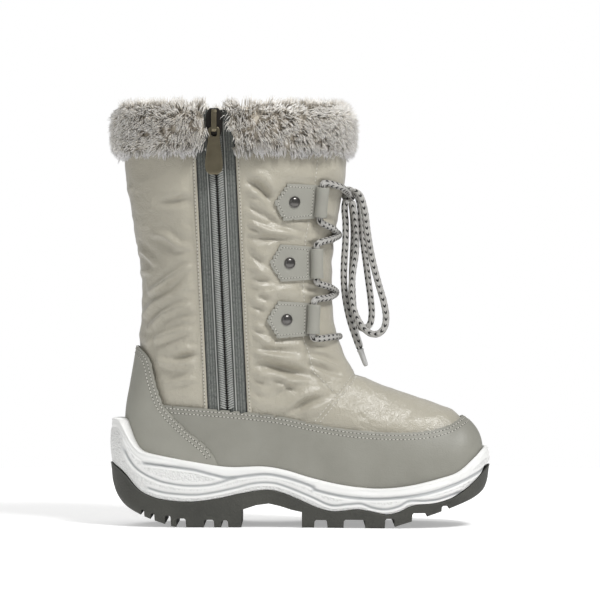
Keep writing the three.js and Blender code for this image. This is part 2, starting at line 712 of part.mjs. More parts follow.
piece("outsole", outsole, "rubber");
piece("midsole", midsole, "foam");
piece("insole", insole, "felt");
piece("upper", upper, "nylon");
piece("rand", rand, "leather");
piece("heel_counter", heelCounter, "leather");
piece("fur_collar", furCollar(), "fur");
piece("zip_tape_rear", zipStrip(-ZIP.tapeHalf, -1, -ZIP.tape, 0), "webbing");
piece("zip_tape_front", zipStrip(1, ZIP.tapeHalf, -ZIP.tape, 0), "webbing");
piece("zip_coil_rear", coilRow(-COIL.half, -GAP / 2), "coil");
piece("zip_coil_front", coilRow(GAP / 2, COIL.half), "coil");
piece("zip_slider", zipSlider(), "bronze");
piece("zip_pull", zipPull(), "bronze");
for (const [side, where] of [[-1, "inner"], [1, "outer"]]) {
  TABS.forEach((_, row) => {
    piece(`lace_tab_${where}_${row + 1}`, laceTab(row, side), "leather");
    piece(`rivet_${where}_${row + 1}`, rivet(row, side), "gunmetal");
  });
}
piece("lace", lace, "cord");
piece("lace_knot", knotForm(0), "cord");
piece("lace_loop_inner", freeLace(LOOP_INNER), "cord");
piece("lace_loop_outer", freeLace(LOOP_OUTER), "cord");
piece("lace_end_inner", freeLace(END_INNER), "cord");
piece("lace_end_outer", freeLace(END_OUTER), "cord");
piece("aglet_inner", aglet(END_INNER), "cord");
piece("aglet_outer", aglet(END_OUTER), "cord");

export default boot;
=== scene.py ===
import math

import bmesh
import bpy
import numpy as np
from mathutils import Matrix, Vector, noise
from mathutils.bvhtree import BVHTree


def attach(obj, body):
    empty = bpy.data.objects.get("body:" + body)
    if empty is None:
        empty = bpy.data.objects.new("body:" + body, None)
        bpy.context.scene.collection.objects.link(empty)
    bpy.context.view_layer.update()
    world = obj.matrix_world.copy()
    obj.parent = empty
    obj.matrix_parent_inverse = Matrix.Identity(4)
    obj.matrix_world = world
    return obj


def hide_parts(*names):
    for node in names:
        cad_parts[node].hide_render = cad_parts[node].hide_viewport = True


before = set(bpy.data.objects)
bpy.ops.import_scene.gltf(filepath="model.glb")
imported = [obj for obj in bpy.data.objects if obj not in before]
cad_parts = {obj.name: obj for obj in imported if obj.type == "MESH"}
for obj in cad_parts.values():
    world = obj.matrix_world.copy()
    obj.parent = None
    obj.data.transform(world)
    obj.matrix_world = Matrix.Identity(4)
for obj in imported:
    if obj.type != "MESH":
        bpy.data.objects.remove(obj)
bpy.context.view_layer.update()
MM = 0.001

# The studio: a long lens level with the middle of the shaft, looking at the boot's inner side,
# a pale floor, one broad soft light over the toe, a weaker one from the heel and a white room.
LENS_DISTANCE = 2.3
VIEW_WIDTH = 0.4329
AIM = (0.0002, 0.1616)

camera = bpy.data.objects.new("camera", bpy.data.cameras.new("camera"))
bpy.context.collection.objects.link(camera)
camera.location = (AIM[0], -LENS_DISTANCE, AIM[1])
camera.rotation_euler = (math.radians(90), 0, 0)
camera.data.sensor_width = 36
camera.data.lens = 36 * LENS_DISTANCE / VIEW_WIDTH
camera.data.clip_end = 30
bpy.context.scene.camera = camera


def soft_light(name, place, aim, size, power, colour=(1, 1, 1)):
    light = bpy.data.objects.new(name, bpy.data.lights.new(name, "AREA"))
    bpy.context.collection.objects.link(light)
    light.location = place
    light.rotation_euler = (Vector(aim) - Vector(place)).to_track_quat("-Z", "Y").to_euler()
    light.data.shape = "RECTANGLE"
    light.data.size, light.data.size_y = size
    light.data.energy = power
    light.data.color = colour


soft_light("key", (0.7, -0.85, 1.5), (0, 0, 0.14), (0.45, 0.45), 25)
soft_light("fill", (-1.3, -1.0, 0.7), (0, 0, 0.15), (0.8, 1.1), 3)
soft_light("behind", (-0.4, 1.5, 1.2), (0, 0, 0.15), (1.2, 0.8), 12)

world = bpy.data.worlds.new("room")
bpy.context.scene.world = world
world.use_nodes = True
room = world.node_tree.nodes["Background"]
room.inputs["Color"].default_value = (1, 1, 1, 1)
room.inputs["Strength"].default_value = 0.36
backdrop = world.node_tree.nodes.new("ShaderNodeBackground")
backdrop.inputs["Color"].default_value = (1, 1, 1, 1)
seen = world.node_tree.nodes.new("ShaderNodeMixShader")
ray = world.node_tree.nodes.new("ShaderNodeLightPath")
join = world.node_tree.links.new
join(ray.outputs["Is Camera Ray"], seen.inputs[0])
join(room.outputs[0], seen.inputs[1])
join(backdrop.outputs[0], seen.inputs[2])
join(seen.outputs[0], world.node_tree.nodes["World Output"].inputs[0])
bpy.context.scene.view_settings.view_transform = "Standard"

floor_mesh = bmesh.new()
bmesh.ops.create_circle(floor_mesh, cap_ends=True, segments=96, radius=0.8)
floor = bpy.data.objects.new("floor", bpy.data.meshes.new("floor"))
floor_mesh.to_mesh(floor.data)
floor_mesh.free()
bpy.context.collection.objects.link(floor)


def new_material(name, **sockets):
    """A material with these values on its Principled shader: (material, tree, shader)."""
    made = bpy.data.materials.new(name)
    made.use_nodes = True
    shader = made.node_tree.nodes["Principled BSDF"]
    for socket, value in sockets.items():
        if isinstance(value, tuple) and len(value) == 3:
            value = (*value, 1)
        shader.inputs[socket.replace("_", " ")].default_value = value
    return made, made.node_tree, shader


floor.data.materials.append(new_material(
    "floor", Base_Color=(0.85, 0.85, 0.85), Roughness=0.9, Emission_Color=(1, 1, 1),
    Emission_Strength=0.35)[0])

# The upper: one padded shell of khaki nylon over foam, lined with plush, closed at the heel and
# sewn up the shaft and over the instep. Its form comes from a last, drawn as flat sections from
# a front point (shin, instep, toes) to a back point (calf, heel, underfoot), collar to toe.
SOLE_LENGTH = 272 * MM
BALL_WIDTH = 100 * MM
SHAFT_HEIGHT = 300 * MM
# x is in hundredths of the sole length, z of the shaft height, half widths of the ball width.
SECTION_COLUMNS = ("front_x", "front_z", "back_x", "back_z", "widest", "inner", "outer", "middle",
                   "front_round", "back_round")
SECTIONS = np.array([
    (12.2, 100, -46.2, 100, 0.5, 50, 50, 0, 2.3, 2.3),
    (11.4, 83.7, -45.4, 83.7, 0.5, 49, 49, 0, 2.3, 2.3),
    (9, 72, -43.5, 72, 0.5, 47.5, 47.5, 0, 2.3, 2.3),
    (8.1, 61.7, -41.6, 61.7, 0.5, 46, 46, 0, 2.3, 2.3),
    (8.1, 52, -41.2, 52, 0.5, 44.5, 44.5, 0, 2.25, 2.3),
    (9.4, 44.7, -42.1, 44.7, 0.5, 43, 43, 0, 2.2, 2.35),
    (11.8, 39.3, -43.1, 39, 0.5, 41.5, 41.5, 0, 2.2, 2.4),
    (14.5, 36, -44.1, 33.7, 0.5, 40.2, 40.2, 0, 2.2, 2.5),
    (17.8, 34.5, -45.2, 27.7, 0.5, 39.2, 39.2, 0, 2.2, 2.55),
    (21.6, 33.1, -45.3, 21.3, 0.5, 38.6, 38.6, 0, 2.2, 2.6),
    (25, 32, -44.5, 14.5, 0.5, 38.4, 38.6, 0, 2.2, 2.7),
    (28.7, 30.8, -39.7, 7.3, 0.5, 38.8, 39.2, 0, 2.2, 2.9),
    (32, 29.7, -27.6, 4.3, 0.5, 39.6, 40.2, 0.3, 2.2, 3),
    (34.9, 28.8, -11, 2.7, 0.48, 40.8, 41.8, 0.4, 2.2, 3),
    (37.9, 27.8, 5.5, 1, 0.44, 42, 43, 0, 2.25, 3),
    (40.6, 26.9, 20.2, 0, 0.4, 42, 42.6, -0.8, 2.3, 3),
    (42.8, 25.8, 32.4, 1.7, 0.38, 39.4, 38.4, -2.4, 2.4, 2.9),
    (44.8, 24.4, 39.4, 4.6, 0.4, 33.4, 31.6, -4, 2.4, 2.7),
    (46.4, 22.4, 43.8, 8.3, 0.43, 25, 23.6, -5.2, 2.3, 2.4),
    (47.3, 20.1, 46.4, 12.2, 0.47, 14, 13.4, -5.8, 2.1, 2.2),
    (47.6, 17.7, 47.5, 16, 0.5, 2.6, 2.5, -6, 2, 2),
])
LAST_ROW = len(SECTIONS) - 1
TOE_SKEW, SKEW_FROM, SKEW_FULL = 0.12, 11, 15
ARCH_X, ARCH_REACH, ARCH_TOP, ARCH_DEPTH = -22 * MM, 52 * MM, 82 * MM, 4 * MM


def smooth(value):
    t = np.clip(value, 0, 1)
    return t * t * (3 - 2 * t)


def mix(a, b, t):
    return a + (b - a) * t


def arc(start, stop, leaving, meeting, t):
    """A smooth run from start to stop with these slopes at its ends. t is 0 to 1."""
    return (start + leaving * t + (3 * (stop - start) - 2 * leaving - meeting) * t**2
            + (2 * (start - stop) + leaving + meeting) * t**3)


def column(name, row):
    """One column of the sections at fractional rows."""
    values = SECTIONS[:, SECTION_COLUMNS.index(name)]
    n = np.minimum(np.floor(row).astype(int), LAST_ROW - 1)
    t = row - n
    a, b, c, d = (values[np.clip(n + k, 0, LAST_ROW)] for k in (-1, 0, 1, 2))
    return arc(b, c, (c - a) / 2, (d - b) / 2, t)


def last_point(row, turn):
    """Points of the last. turn is 0 at the front point and grows towards the inner side."""
    row, turn = np.broadcast_arrays(np.asarray(row, float), np.asarray(turn, float))
    front_x, back_x = (column(c, row) * SOLE_LENGTH / 100 for c in ("front_x", "back_x"))
    front_z, back_z = (column(c, row) * SHAFT_HEIGHT / 100 for c in ("front_z", "back_z"))
    cos, sin = np.cos(turn), np.sin(turn)
    power = 2 / np.where(cos > 0, column("front_round", row), column("back_round", row))
    along = np.sign(cos) * np.abs(cos) ** power
    across = np.sign(sin) * np.abs(sin) ** power
    widest = column("widest", row)
    t = widest + along * np.where(along > 0, 1 - widest, widest)
    half = np.where(across > 0, column("inner", row), column("outer", row)) * BALL_WIDTH / 100
    skew = TOE_SKEW * smooth((row - SKEW_FROM) / (SKEW_FULL - SKEW_FROM))
    z = mix(back_z, front_z, t)
    x = mix(back_x, front_x, t) + skew * across * half
    hollow = (ARCH_DEPTH * smooth(1 - np.abs(x - ARCH_X) / ARCH_REACH)
              * smooth((ARCH_TOP - z) / ARCH_TOP))
    y = column("middle", row) * MM - across * half + np.where(across > 0, hollow * across, 0)
    return np.stack([x, y, z], -1)


def last_normal(row, turn):
    step = 0.02
    low, high = np.maximum(row - step, 0), np.minimum(row + step, LAST_ROW)
    lengthways = last_point(high, turn) - last_point(low, turn)
    around = last_point(row, turn + step) - last_point(row, turn - step)
    made = np.cross(around, lengthways)
    return made / np.maximum(np.linalg.norm(made, axis=-1, keepdims=True), 1e-12)


def off_last(row, turn, out):
    """Points a distance outside the last."""
    row, turn = np.broadcast_arrays(np.asarray(row, float), np.asarray(turn, float))
    out = np.broadcast_to(out, row.shape)
    return last_point(row, turn) + last_normal(row, turn) * out[..., None]


def laid(name, across, along, place, join=False):
    """A grid of faces laid on place(u, v), u and v from 0 to 1. join merges edges that meet."""
    shape = bmesh.new()
    shape.loops.layers.uv.new("UVMap")
    bmesh.ops.create_grid(shape, x_segments=across, y_segments=along, size=0.5, calc_uvs=True)
    flat = np.array([v.co[:2] for v in shape.verts]) + 0.5
    for vert, at in zip(shape.verts, place(flat[:, 0], flat[:, 1])):
        vert.co = at
    gone = [v for v in shape.verts if v.co.x != v.co.x]
    bmesh.ops.delete(shape, geom=gone, context="VERTS")
    if join:
        bmesh.ops.remove_doubles(shape, verts=shape.verts, dist=1e-6)
    bmesh.ops.dissolve_degenerate(shape, edges=shape.edges, dist=1e-7)
    bmesh.ops.recalc_face_normals(shape, faces=shape.faces)
    centres = np.array([f.calc_center_median() for f in shape.faces])
    normals = np.array([f.normal for f in shape.faces])
    middle = centres.mean(0) * (1, 0, 1)
    if ((centres - middle) * normals).sum() < 0:
        bmesh.ops.reverse_faces(shape, faces=shape.faces)
    return piece_from(name, shape)


def piece_from(name, shape):
    """A smooth-shaded object from a bmesh."""
    mesh = bpy.data.meshes.new(name)
    shape.to_mesh(mesh)
    shape.free()
    mesh.shade_smooth()
    piece = bpy.data.objects.new(name, mesh)
    bpy.context.collection.objects.link(piece)
    return piece


def side_line(*points):
    """A smooth side-view line through [x, z] points in mm: dense x and z, in metres."""
    points = np.array(points, float) * MM
    ends = np.vstack([2 * points[0] - points[1], points, 2 * points[-1] - points[-2]])
    t = np.linspace(0, 1, 12, endpoint=False)[:, None]
    runs = []
    for a, b, c, d in zip(ends, ends[1:], ends[2:], ends[3:]):
        runs.append(arc(b, c, (c - a) / 2, (d - b) / 2, t))
    return np.vstack([*runs, points[-1:]])


def height_on(line, x):
    """The height of a side-view line at x."""
    return np.interp(x, line[:, 0], line[:, 1])

def above_line(line, x, z):
    """How far places lie above a side-view line, square to it."""
    slope = np.interp(x, line[:, 0], np.gradient(line[:, 1], line[:, 0]))
    return (z - height_on(line, x)) / np.sqrt(1 + slope**2)


# The last's rows at equal steps of length, from the collar to the toe.
fine_rows = np.linspace(0, LAST_ROW, 801)
fine_ring = last_point(fine_rows[:, None], np.linspace(0, 2 * math.pi, 25)[None])
row_run = np.r_[0, np.cumsum(np.linalg.norm(np.diff(fine_ring, axis=0), axis=-1).mean(1))]
row_run /= row_run[-1]


def row_at(share):
    return np.interp(share, row_run, fine_rows)


coarse_row, coarse_turn = np.meshgrid(np.linspace(0, LAST_ROW, 161), np.linspace(0.02, 3.12, 90))


def spot(x, z, side):
    """Rows and turns where the last has these x and z. side is -1 on the inner side."""
    x, z = (np.asarray(v, float).ravel() for v in np.broadcast_arrays(x, z))
    mesh = last_point(coarse_row, -side * coarse_turn)
    near = [np.argmin((mesh[..., 0] - a) ** 2 + (mesh[..., 2] - b) ** 2) for a, b in zip(x, z)]
    row, turn = coarse_row.ravel()[near], -side * coarse_turn.ravel()[near]
    for _ in range(6):
        here = last_point(row, turn)
        down = (last_point(np.minimum(row + 0.01, LAST_ROW), turn) - here) / 0.01
        round_ = (last_point(row, turn + 0.01) - here) / 0.01
        miss_x, miss_z = x - here[:, 0], z - here[:, 2]
        area = down[:, 0] * round_[:, 2] - down[:, 2] * round_[:, 0]
        area = np.where(np.abs(area) < 1e-6, 1e-6, area)
        row = row + np.clip((miss_x * round_[:, 2] - miss_z * round_[:, 0]) / area, -0.3, 0.3)
        turn = turn + np.clip((down[:, 0] * miss_z - down[:, 2] * miss_x) / area, -0.1, 0.1)
        row = np.clip(row, 0, LAST_ROW)
    return row, turn


def on_side(x, z, side, out):
    """Points of the last's surface, or off it, at side-view places."""
    return off_last(*spot(x, z, side), out)


def shade(red, green, blue):
    """A colour from the 0 to 255 values of a colour card."""
    return tuple(((c / 255 + 0.055) / 1.055) ** 2.4 for c in (red, green, blue))


def node(tree, kind, given=None, **settings):
    """A new node with these settings. given has a value or a source for each input it names."""
    made = tree.nodes.new(kind)
    for name, value in settings.items():
        setattr(made, name, value)
    for name, value in (given or {}).items():
        if isinstance(value, bpy.types.NodeSocket):
            tree.links.new(value, made.inputs[name])
        else:
            made.inputs[name].default_value = (*value[:3], 1) if isinstance(value, tuple) else value
    return made


def maths(tree, operation, *values):
    """A Math node on sources or numbers, and its output."""
    return node(tree, "ShaderNodeMath", dict(enumerate(values)), operation=operation).outputs[0]


def mixed(tree, mask, first, second):
    """A colour mixed from two, by a mask."""
    return node(tree, "ShaderNodeMix", {0: mask, 6: first, 7: second}, data_type="RGBA").outputs[2]


def spotted(tree, name):
    """The values that a piece's mesh carries under a name."""
    return node(tree, "ShaderNodeAttribute", attribute_name=name).outputs["Fac"]


def painted(tree, shader, colour, height=None, distance=0, strength=1, invert=False):
    """Gives a shader its colour and its relief."""
    tree.links.new(colour, shader.inputs["Base Color"])
    if height is not None:
        given = {"Height": height, "Distance": distance, "Strength": strength}
        bump = node(tree, "ShaderNodeBump", given, invert=invert)
        tree.links.new(bump.outputs[0], shader.inputs["Normal"])


BED_LINE = side_line(
    (-140, 30), (-100, 30), (-60, 30), (-20, 25), (20, 19), (50, 17), (80, 19), (102, 23),
    (118, 28.5), (130, 35), (140, 41))
# x and z of the point, and its lean
TABS = ((-18.5, 230.6, 0.1), (-22, 187.8, 0), (-24, 147.6, 0.02))
TAB_SHOULDER, TAB_FRONT, TAB_HALF = 8, 31, 13.2


def tab_place(row, ahead, up):
    """Side-view x and z on a tab: ahead of its point and above its middle, all in mm."""
    x, z, lean = TABS[row]
    return x + ahead + up * lean, z + up + ahead * lean * 0.3


def shaft_row(z):
    heights = SECTIONS[:6, 1] * SHAFT_HEIGHT / 100
    dense = np.linspace(0, 5, 400)
    return np.interp(-np.asarray(z), -column("front_z", dense) * SHAFT_HEIGHT / 100, dense)


WALL = 4.5 * MM
UPPER_TOP = 292 * MM
ZIP_BOTTOM, ZIP_X, ZIP_LEAN, TAPE_HALF = 78 * MM, -51 * MM, -0.045, 14.5 * MM
FRONT_SEAM = ((11, 262), (9, 243), (4.2, 214.7), (2.3, 204.8), (0.8, 174), (1.3, 160),
              (0.8, 133.5), (4.6, 124.6), (7.9, 110), (15.7, 102.5), (23.4, 94.7))
VAMP_SEAM = ((39.4, 107.5), (12, 74.5))
# The upper edges of the leather pieces that lie over the nylon.
RAND_EDGE = side_line(
    (-140, 92), (-96, 87), (-43, 82.6), (-14, 79), (15, 72.6), (40, 68.6), (68, 66.8),
    (90, 67.8), (106, 71.6), (118, 79), (126, 87))
COUNTER_EDGE = side_line(
    (-126, 133), (-115.4, 128.8), (-106, 119.4), (-101.6, 102), (-95.5, 86), (-80.7, 70),
    (-65.3, 56.6), (-58, 44), (-54, 30))
# Height (below 0 it is a trough), half width, and its line in side view, all in mm.
CREASES = (
    (-1.5, 3.2, (-98, 231), (-73, 233)), (1.3, 2.3, (-102, 209), (-94, 207), (-85, 200), (-74, 199)),
    (0.8, 2.2, (-112.5, 184), (-107, 181.5)), (0.6, 2.4, (-121, 242), (-117, 241.5)),
    (1.2, 2, (-113.5, 199.5), (-108, 194), (-102.5, 188)),
    (1.7, 1.9, (-105, 167.5), (-93.5, 175.5), (-83, 182.5), (-72, 188)),
    (-1, 2.2, (-102, 162.5), (-92, 169), (-82, 175.5)), (1.2, 2.2, (-110, 152), (-102, 160), (-94, 164)),
    (1.5, 2.1, (-107, 141), (-96.5, 151), (-86, 156), (-70, 159)),
    (1.5, 2.1, (-108, 131), (-92.5, 137), (-83, 140), (-71, 141)),
    (-1.7, 2.4, (-87, 121), (-71, 124)), (1.3, 2.3, (-105, 120), (-92.5, 116), (-80.5, 116), (-72, 118)),
    (-2.6, 3.2, (-39, 247), (-28.5, 241.5), (-21, 233), (-19, 227)),
    (-1.9, 3, (-37, 229.5), (-28, 223), (-17, 216.5), (3, 209)),
    (-1.5, 2.6, (-39, 205), (-22, 205.5), (4, 203.5)),
    (-1.5, 2.6, (-38, 196), (-29, 189), (-23, 186)), (-1.4, 2.6, (-38.5, 176.5), (-15.5, 174)),
    (-1.3, 2.4, (-38, 168), (-26, 164), (-22, 160)), (1, 2.4, (-37, 163), (-26, 168)),
    (-1.4, 2.4, (-38, 157.5), (-29, 155.5), (-22.5, 150)),
    (-1.4, 2.4, (-35, 151), (-23, 144), (-19, 137)), (-1.2, 2.4, (-36.5, 142.5), (-22, 136)),
    (-1.5, 2.6, (-36.5, 129), (-22, 125.5), (-2, 125.5)),
    (-3, 3.4, (-35, 116), (-23, 116), (-8.5, 112), (6, 109)),
    (-1.5, 3, (-6, 77), (4.5, 88), (20.5, 93)), (-1, 2.5, (9, 129), (23, 127.5)),
    (-0.8, 2.2, (18, 199), (20, 190)), (-1, 2, (0, 200), (10, 200)), (-1, 2, (0, 170), (10, 170)),
    (-1.2, 2, (-38, 236), (-30, 233), (-24, 226)), (-1.1, 1.9, (-38, 221), (-27, 216), (-16, 211)),
    (-1.1, 1.8, (-38, 213), (-28, 210)), (-1.1, 1.8, (-38, 190), (-31, 184)),
    (-1, 1.8, (-38, 183), (-30, 180)), (-1.1, 1.8, (-37.5, 171), (-29, 169), (-20, 169.5)),
    (-1.1, 1.8, (-37, 147), (-30, 144.5)), (-1.1, 1.8, (-36.5, 136), (-27, 131)),
    (-1.2, 1.9, (-36, 122.5), (-27, 120.5), (-14, 119)), (-1, 1.8, (-35, 108), (-26, 103)),
    (-1, 1.9, (-34.5, 98), (-26, 92)), (-1.3, 2.2, (-12, 76), (-4, 84), (5, 90), (13, 92)),
    (1, 2, (-20, 96), (-8, 104), (4, 104)), (-1.2, 2, (3, 117), (16, 113), (27, 108)),
    (-1.1, 2, (6, 124), (18, 121), (27, 116)), (-1, 1.8, (-20, 106), (-10, 102), (-2, 96)),
    (1, 2, (-72, 105.5), (-82, 104.5), (-93.5, 102)), (-1, 2, (-69, 132), (-80, 130)),
    (-1, 2, (-70, 152), (-84, 149.5)), (-0.9, 2, (-69, 168), (-80, 166)),
    (-0.9, 2, (-69, 214), (-80, 216)),
    (-0.8, 1.8, (4, 246), (12, 243), (22, 244)), (-1, 1.8, (11, 222), (22, 219)),
)
CREASE_SCALE = 1.9
PUFF, PUFF_REACH, SEAM_DEEP, SEAM_HALF = 0.7 * MM, 9 * MM, 0.9 * MM, 1.3 * MM
WELT_HIGH, WELT_HALF, ZIP_SUNK, ZIP_SLOPE = 0.9 * MM, 1.3 * MM, 1.8 * MM, 1.8 * MM


def beside_tab(row, x, z):
    """How far places lie outside a tab's outline in side view."""
    corners = np.array([tab_place(row, *c) for c in (
        (0, 0), (TAB_SHOULDER, TAB_HALF), (TAB_FRONT, TAB_HALF - 1.6),
        (TAB_FRONT, -TAB_HALF + 1.6), (TAB_SHOULDER, -TAB_HALF))]) * MM
    away = np.full(np.shape(x), -1.0)
    for a, b in zip(corners, np.roll(corners, -1, 0)):
        edge = (b - a) / np.linalg.norm(b - a)
        away = np.maximum(away, (z - a[1]) * edge[0] - (x - a[0]) * edge[1])
    return away


def zip_x(z):
    return ZIP_X + (z - ZIP_BOTTOM) * ZIP_LEAN


def run_along(points):
    """The distance along a line at each of its points."""
    return np.r_[0, np.cumsum(np.linalg.norm(np.diff(points, axis=0), axis=1))]


def off_path(x, z, points):
    """Distance in side view from a line through points in mm, and the share along it."""
    points = np.array(points, float) * MM
    best = np.full(np.shape(x), 9.0)
    share = np.zeros(np.shape(x))
    run = run_along(points)
    for a, b, length, before in zip(points, points[1:], np.diff(run), run):
        t = np.clip(((x - a[0]) * (b - a)[0] + (z - a[1]) * (b - a)[1]) / length**2, 0, 1)
        away = np.hypot(x - a[0] - t * (b - a)[0], z - a[1] - t * (b - a)[1])
        share = np.where(away < best, (before + t * length) / run[-1], share)
        best = np.minimum(best, away)
    return best, share


def folds(place):
    """How far the nylon stands off the last: its puff, folds, seams and the zip's recess."""
    x, y, z = place[..., 0], place[..., 1], place[..., 2]
    other = smooth((y + 20 * MM) / (40 * MM))
    x_in, z_in = x - 2 * MM * other, z + 6 * MM * other
    relief = np.zeros(x.shape)
    for height, width, *points in CREASES:
        away, share = off_path(x_in, z_in, points)
        fade = 0.35 + 0.65 * np.sin(math.pi * np.clip(share, 0, 1))
        bell = np.exp(-((away / (width * MM)) ** 2))
        shoulder = np.exp(-(((away - 2 * width * MM) / (1.2 * width * MM)) ** 2))
        relief += CREASE_SCALE * height * MM * fade * (bell - 0.4 * shoulder)
    for seam in (FRONT_SEAM, VAMP_SEAM):
        away, _ = off_path(x, z, seam)
        relief += PUFF * smooth(away / PUFF_REACH) - SEAM_DEEP * np.exp(-((away / SEAM_HALF) ** 2))
    beside = np.abs(x - zip_x(z))
    zipped = smooth((-y - 5 * MM) / (6 * MM)) * smooth((z - ZIP_BOTTOM + 1.5 * MM) / (2 * MM))
    calm = zipped * (1 - smooth((beside - TAPE_HALF - 2 * MM) / (9 * MM)))
    leather = np.minimum(above_line(RAND_EDGE, x, z), above_line(COUNTER_EDGE, x, z))
    tabs = np.min([beside_tab(row, x, z) for row in range(len(TABS))], axis=0)
    calm = np.maximum(calm, 1 - smooth((leather - 1 * MM) / (7 * MM)))
    calm = np.maximum(calm, 1 - smooth((tabs - 0.5 * MM) / (6 * MM)))
    relief = relief * (1 - calm) - 0.5 * MM * (1 - smooth(leather / (3 * MM)))
    edge = WELT_HIGH * np.exp(-(((beside - TAPE_HALF - 1.6 * MM) / WELT_HALF) ** 2))
    sunk = -ZIP_SUNK * (1 - smooth((beside - TAPE_HALF - 0.2 * MM) / ZIP_SLOPE))
    return relief + zipped * (edge + sunk)


OUTER_SHARE = 0.86
UPPER_AROUND, UPPER_ALONG = ((250, 380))
BED_CLEAR = 0.4 * MM
NYLON_CRUMPLE, RUMPLE = 11, 0.9 * MM


def upper_place(u, v):
    turn = u * 2 * math.pi
    outside = v <= OUTER_SHARE
    share = np.where(outside, 1 - v / OUTER_SHARE, (v - OUTER_SHARE) / (1 - OUTER_SHARE))
    row = np.maximum(row_at(share), shaft_row(UPPER_TOP))
    skin = last_point(row, turn)
    puff = folds(skin)
    wave = np.array([
        noise.noise(Vector(p) * 34) + 1.1 * (0.45 - abs(noise.noise(Vector((x * 26, y * 26, z * 62)))))
        + 0.5 * (0.4 - abs(noise.noise(Vector((x * 60 + z * 30, y * 60, z * 120 - x * 40)))))
        for p in skin for x, y, z in [p]])
    loose = smooth((above_line(RAND_EDGE, skin[:, 0], skin[:, 2]) - 2 * MM) / (8 * MM))
    calm = np.exp(-((np.abs(skin[:, 0] - zip_x(skin[:, 2])) / (21 * MM)) ** 6)) * (skin[:, 1] < 0)
    loose = loose * (1 - calm)
    out = np.where(outside, puff + wave * loose * RUMPLE, -WALL)
    made = skin + last_normal(row, turn) * out[:, None]
    bed = height_on(BED_LINE, made[:, 0]) + BED_CLEAR
    lost = made[:, 2] < bed - 3 * MM
    made[:, 2] = np.clip(made[:, 2], bed, UPPER_TOP)
    made[lost] = np.nan
    return made


def finish(piece, material, slot, *cad_nodes, body="boot"):
    """Gives a piece its material and its place in the model."""
    piece.data.materials.append(material)
    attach(piece, body)
    if cad_nodes:
        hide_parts(*cad_nodes)
    return piece


upper = laid("upper_shell", UPPER_AROUND, UPPER_ALONG, upper_place, join=True)

# Cloudy tone from large noise, and a fine relief of grain cells, threads and crumples.
RIPPLE_SCALE, CRUMPLE_SCALE = 260, 34
SURFACE = bpy.data.node_groups.new("surface", "ShaderNodeTree")
for socket, kind, value in (
        ("Colour", "Color", (1, 1, 1, 1)), ("Shadow", "Color", (0, 0, 0, 1)),
        ("Cloud scale", "Float", 40), ("Grain scale", "Float", 900), ("Grain tone", "Float", 0.3),
        ("Ripple", "Float", 1), ("Crumple", "Float", 0)):
    made = SURFACE.interface.new_socket(socket, in_out="INPUT", socket_type=f"NodeSocket{kind}")
    made.default_value = value
for socket, kind in (("Colour", "Color"), ("Height", "Float")):
    SURFACE.interface.new_socket(socket, in_out="OUTPUT", socket_type=f"NodeSocket{kind}")
given = SURFACE.nodes.new("NodeGroupInput").outputs
place = node(SURFACE, "ShaderNodeTexCoord").outputs["Object"]
cloud = node(SURFACE, "ShaderNodeTexNoise", {"Detail": 3, "Vector": place, "Scale": given["Cloud scale"]})
cells = node(SURFACE, "ShaderNodeTexVoronoi", {"Vector": place, "Scale": given["Grain scale"]},
             feature="SMOOTH_F1").outputs["Distance"]
ripple = node(SURFACE, "ShaderNodeTexNoise", {"Detail": 4, "Scale": RIPPLE_SCALE, "Vector": place})
crumple = node(SURFACE, "ShaderNodeTexNoise", {"Scale": CRUMPLE_SCALE, "Detail": 5, "Roughness": 0.6,
                                               "Distortion": 0.9, "Vector": place})
ridge = maths(SURFACE, "ABSOLUTE", maths(SURFACE, "SUBTRACT", crumple.outputs[0], 0.5))
tone = mixed(SURFACE, cloud.outputs[0], given["Shadow"], given["Colour"])
# Painted shade: where the grain cells dent the relief, the colour is mixed towards the shadow colour.
fine = maths(SURFACE, "MULTIPLY", cells, given["Grain tone"])
height = maths(SURFACE, "ADD", maths(SURFACE, "MULTIPLY", cells, -1.0),
               maths(SURFACE, "MULTIPLY", ripple.outputs[0], given["Ripple"]))
height = maths(SURFACE, "SUBTRACT", height, maths(SURFACE, "MULTIPLY", ridge, given["Crumple"]))
node(SURFACE, "NodeGroupOutput", {"Colour": mixed(SURFACE, fine, tone, given["Shadow"]),
                                  "Height": height})


def stuff(name, colour, shadow, grain, relief, roughness, grain_tone=0.3, ripple=1.0, cloud=40,
          **sockets):
    """A material whose tone and relief come from the surface effect. grain is per metre."""
    made, tree, shader = new_material(name, Roughness=roughness, **sockets)
    surface = node(tree, "ShaderNodeGroup", node_tree=SURFACE)
    values = {"Colour": (*colour, 1), "Shadow": (*shadow, 1), "Cloud scale": cloud,
              "Grain scale": grain, "Grain tone": grain_tone, "Ripple": ripple}
    for socket, value in values.items():
        surface.inputs[socket].default_value = value
    painted(tree, shader, surface.outputs["Colour"], surface.outputs["Height"], relief)
    return made


nylon = stuff("khaki_nylon", shade(179, 174, 159), shade(155, 150, 136), 1500, 0.22 * MM, 0.28,
              grain_tone=0.12, ripple=2.4, cloud=22, Sheen_Weight=0.2)
tree = nylon.node_tree
tree.links.new(maths(tree, "MULTIPLY", spotted(tree, "crumpled"), NYLON_CRUMPLE),
               tree.nodes["Group"].inputs["Crumple"])
# The vamp is drawn tight, and hardly crumples.
points = np.array([v.co for v in upper.data.vertices])
toe = smooth((points[:, 0] - 22 * MM - (96 * MM - points[:, 2])) / (20 * MM))
mark = upper.data.attributes.new("crumpled", "FLOAT", "POINT")
mark.data.foreach_set("value", 1 - 0.85 * toe)
plush = stuff("plush_lining", shade(196, 188, 174), shade(150, 142, 128), 420, 0.9 * MM, 1.0,
              grain_tone=0.6, Sheen_Weight=0.4)
finish(upper, nylon, "nylon", "upper")
upper.data.materials.append(plush)
for face in upper.data.polygons:
    low = min(upper.data.uv_layers[0].data[i].uv[1] for i in face.loop_indices)
    face.material_index = int(low > OUTER_SHARE - 0.002)

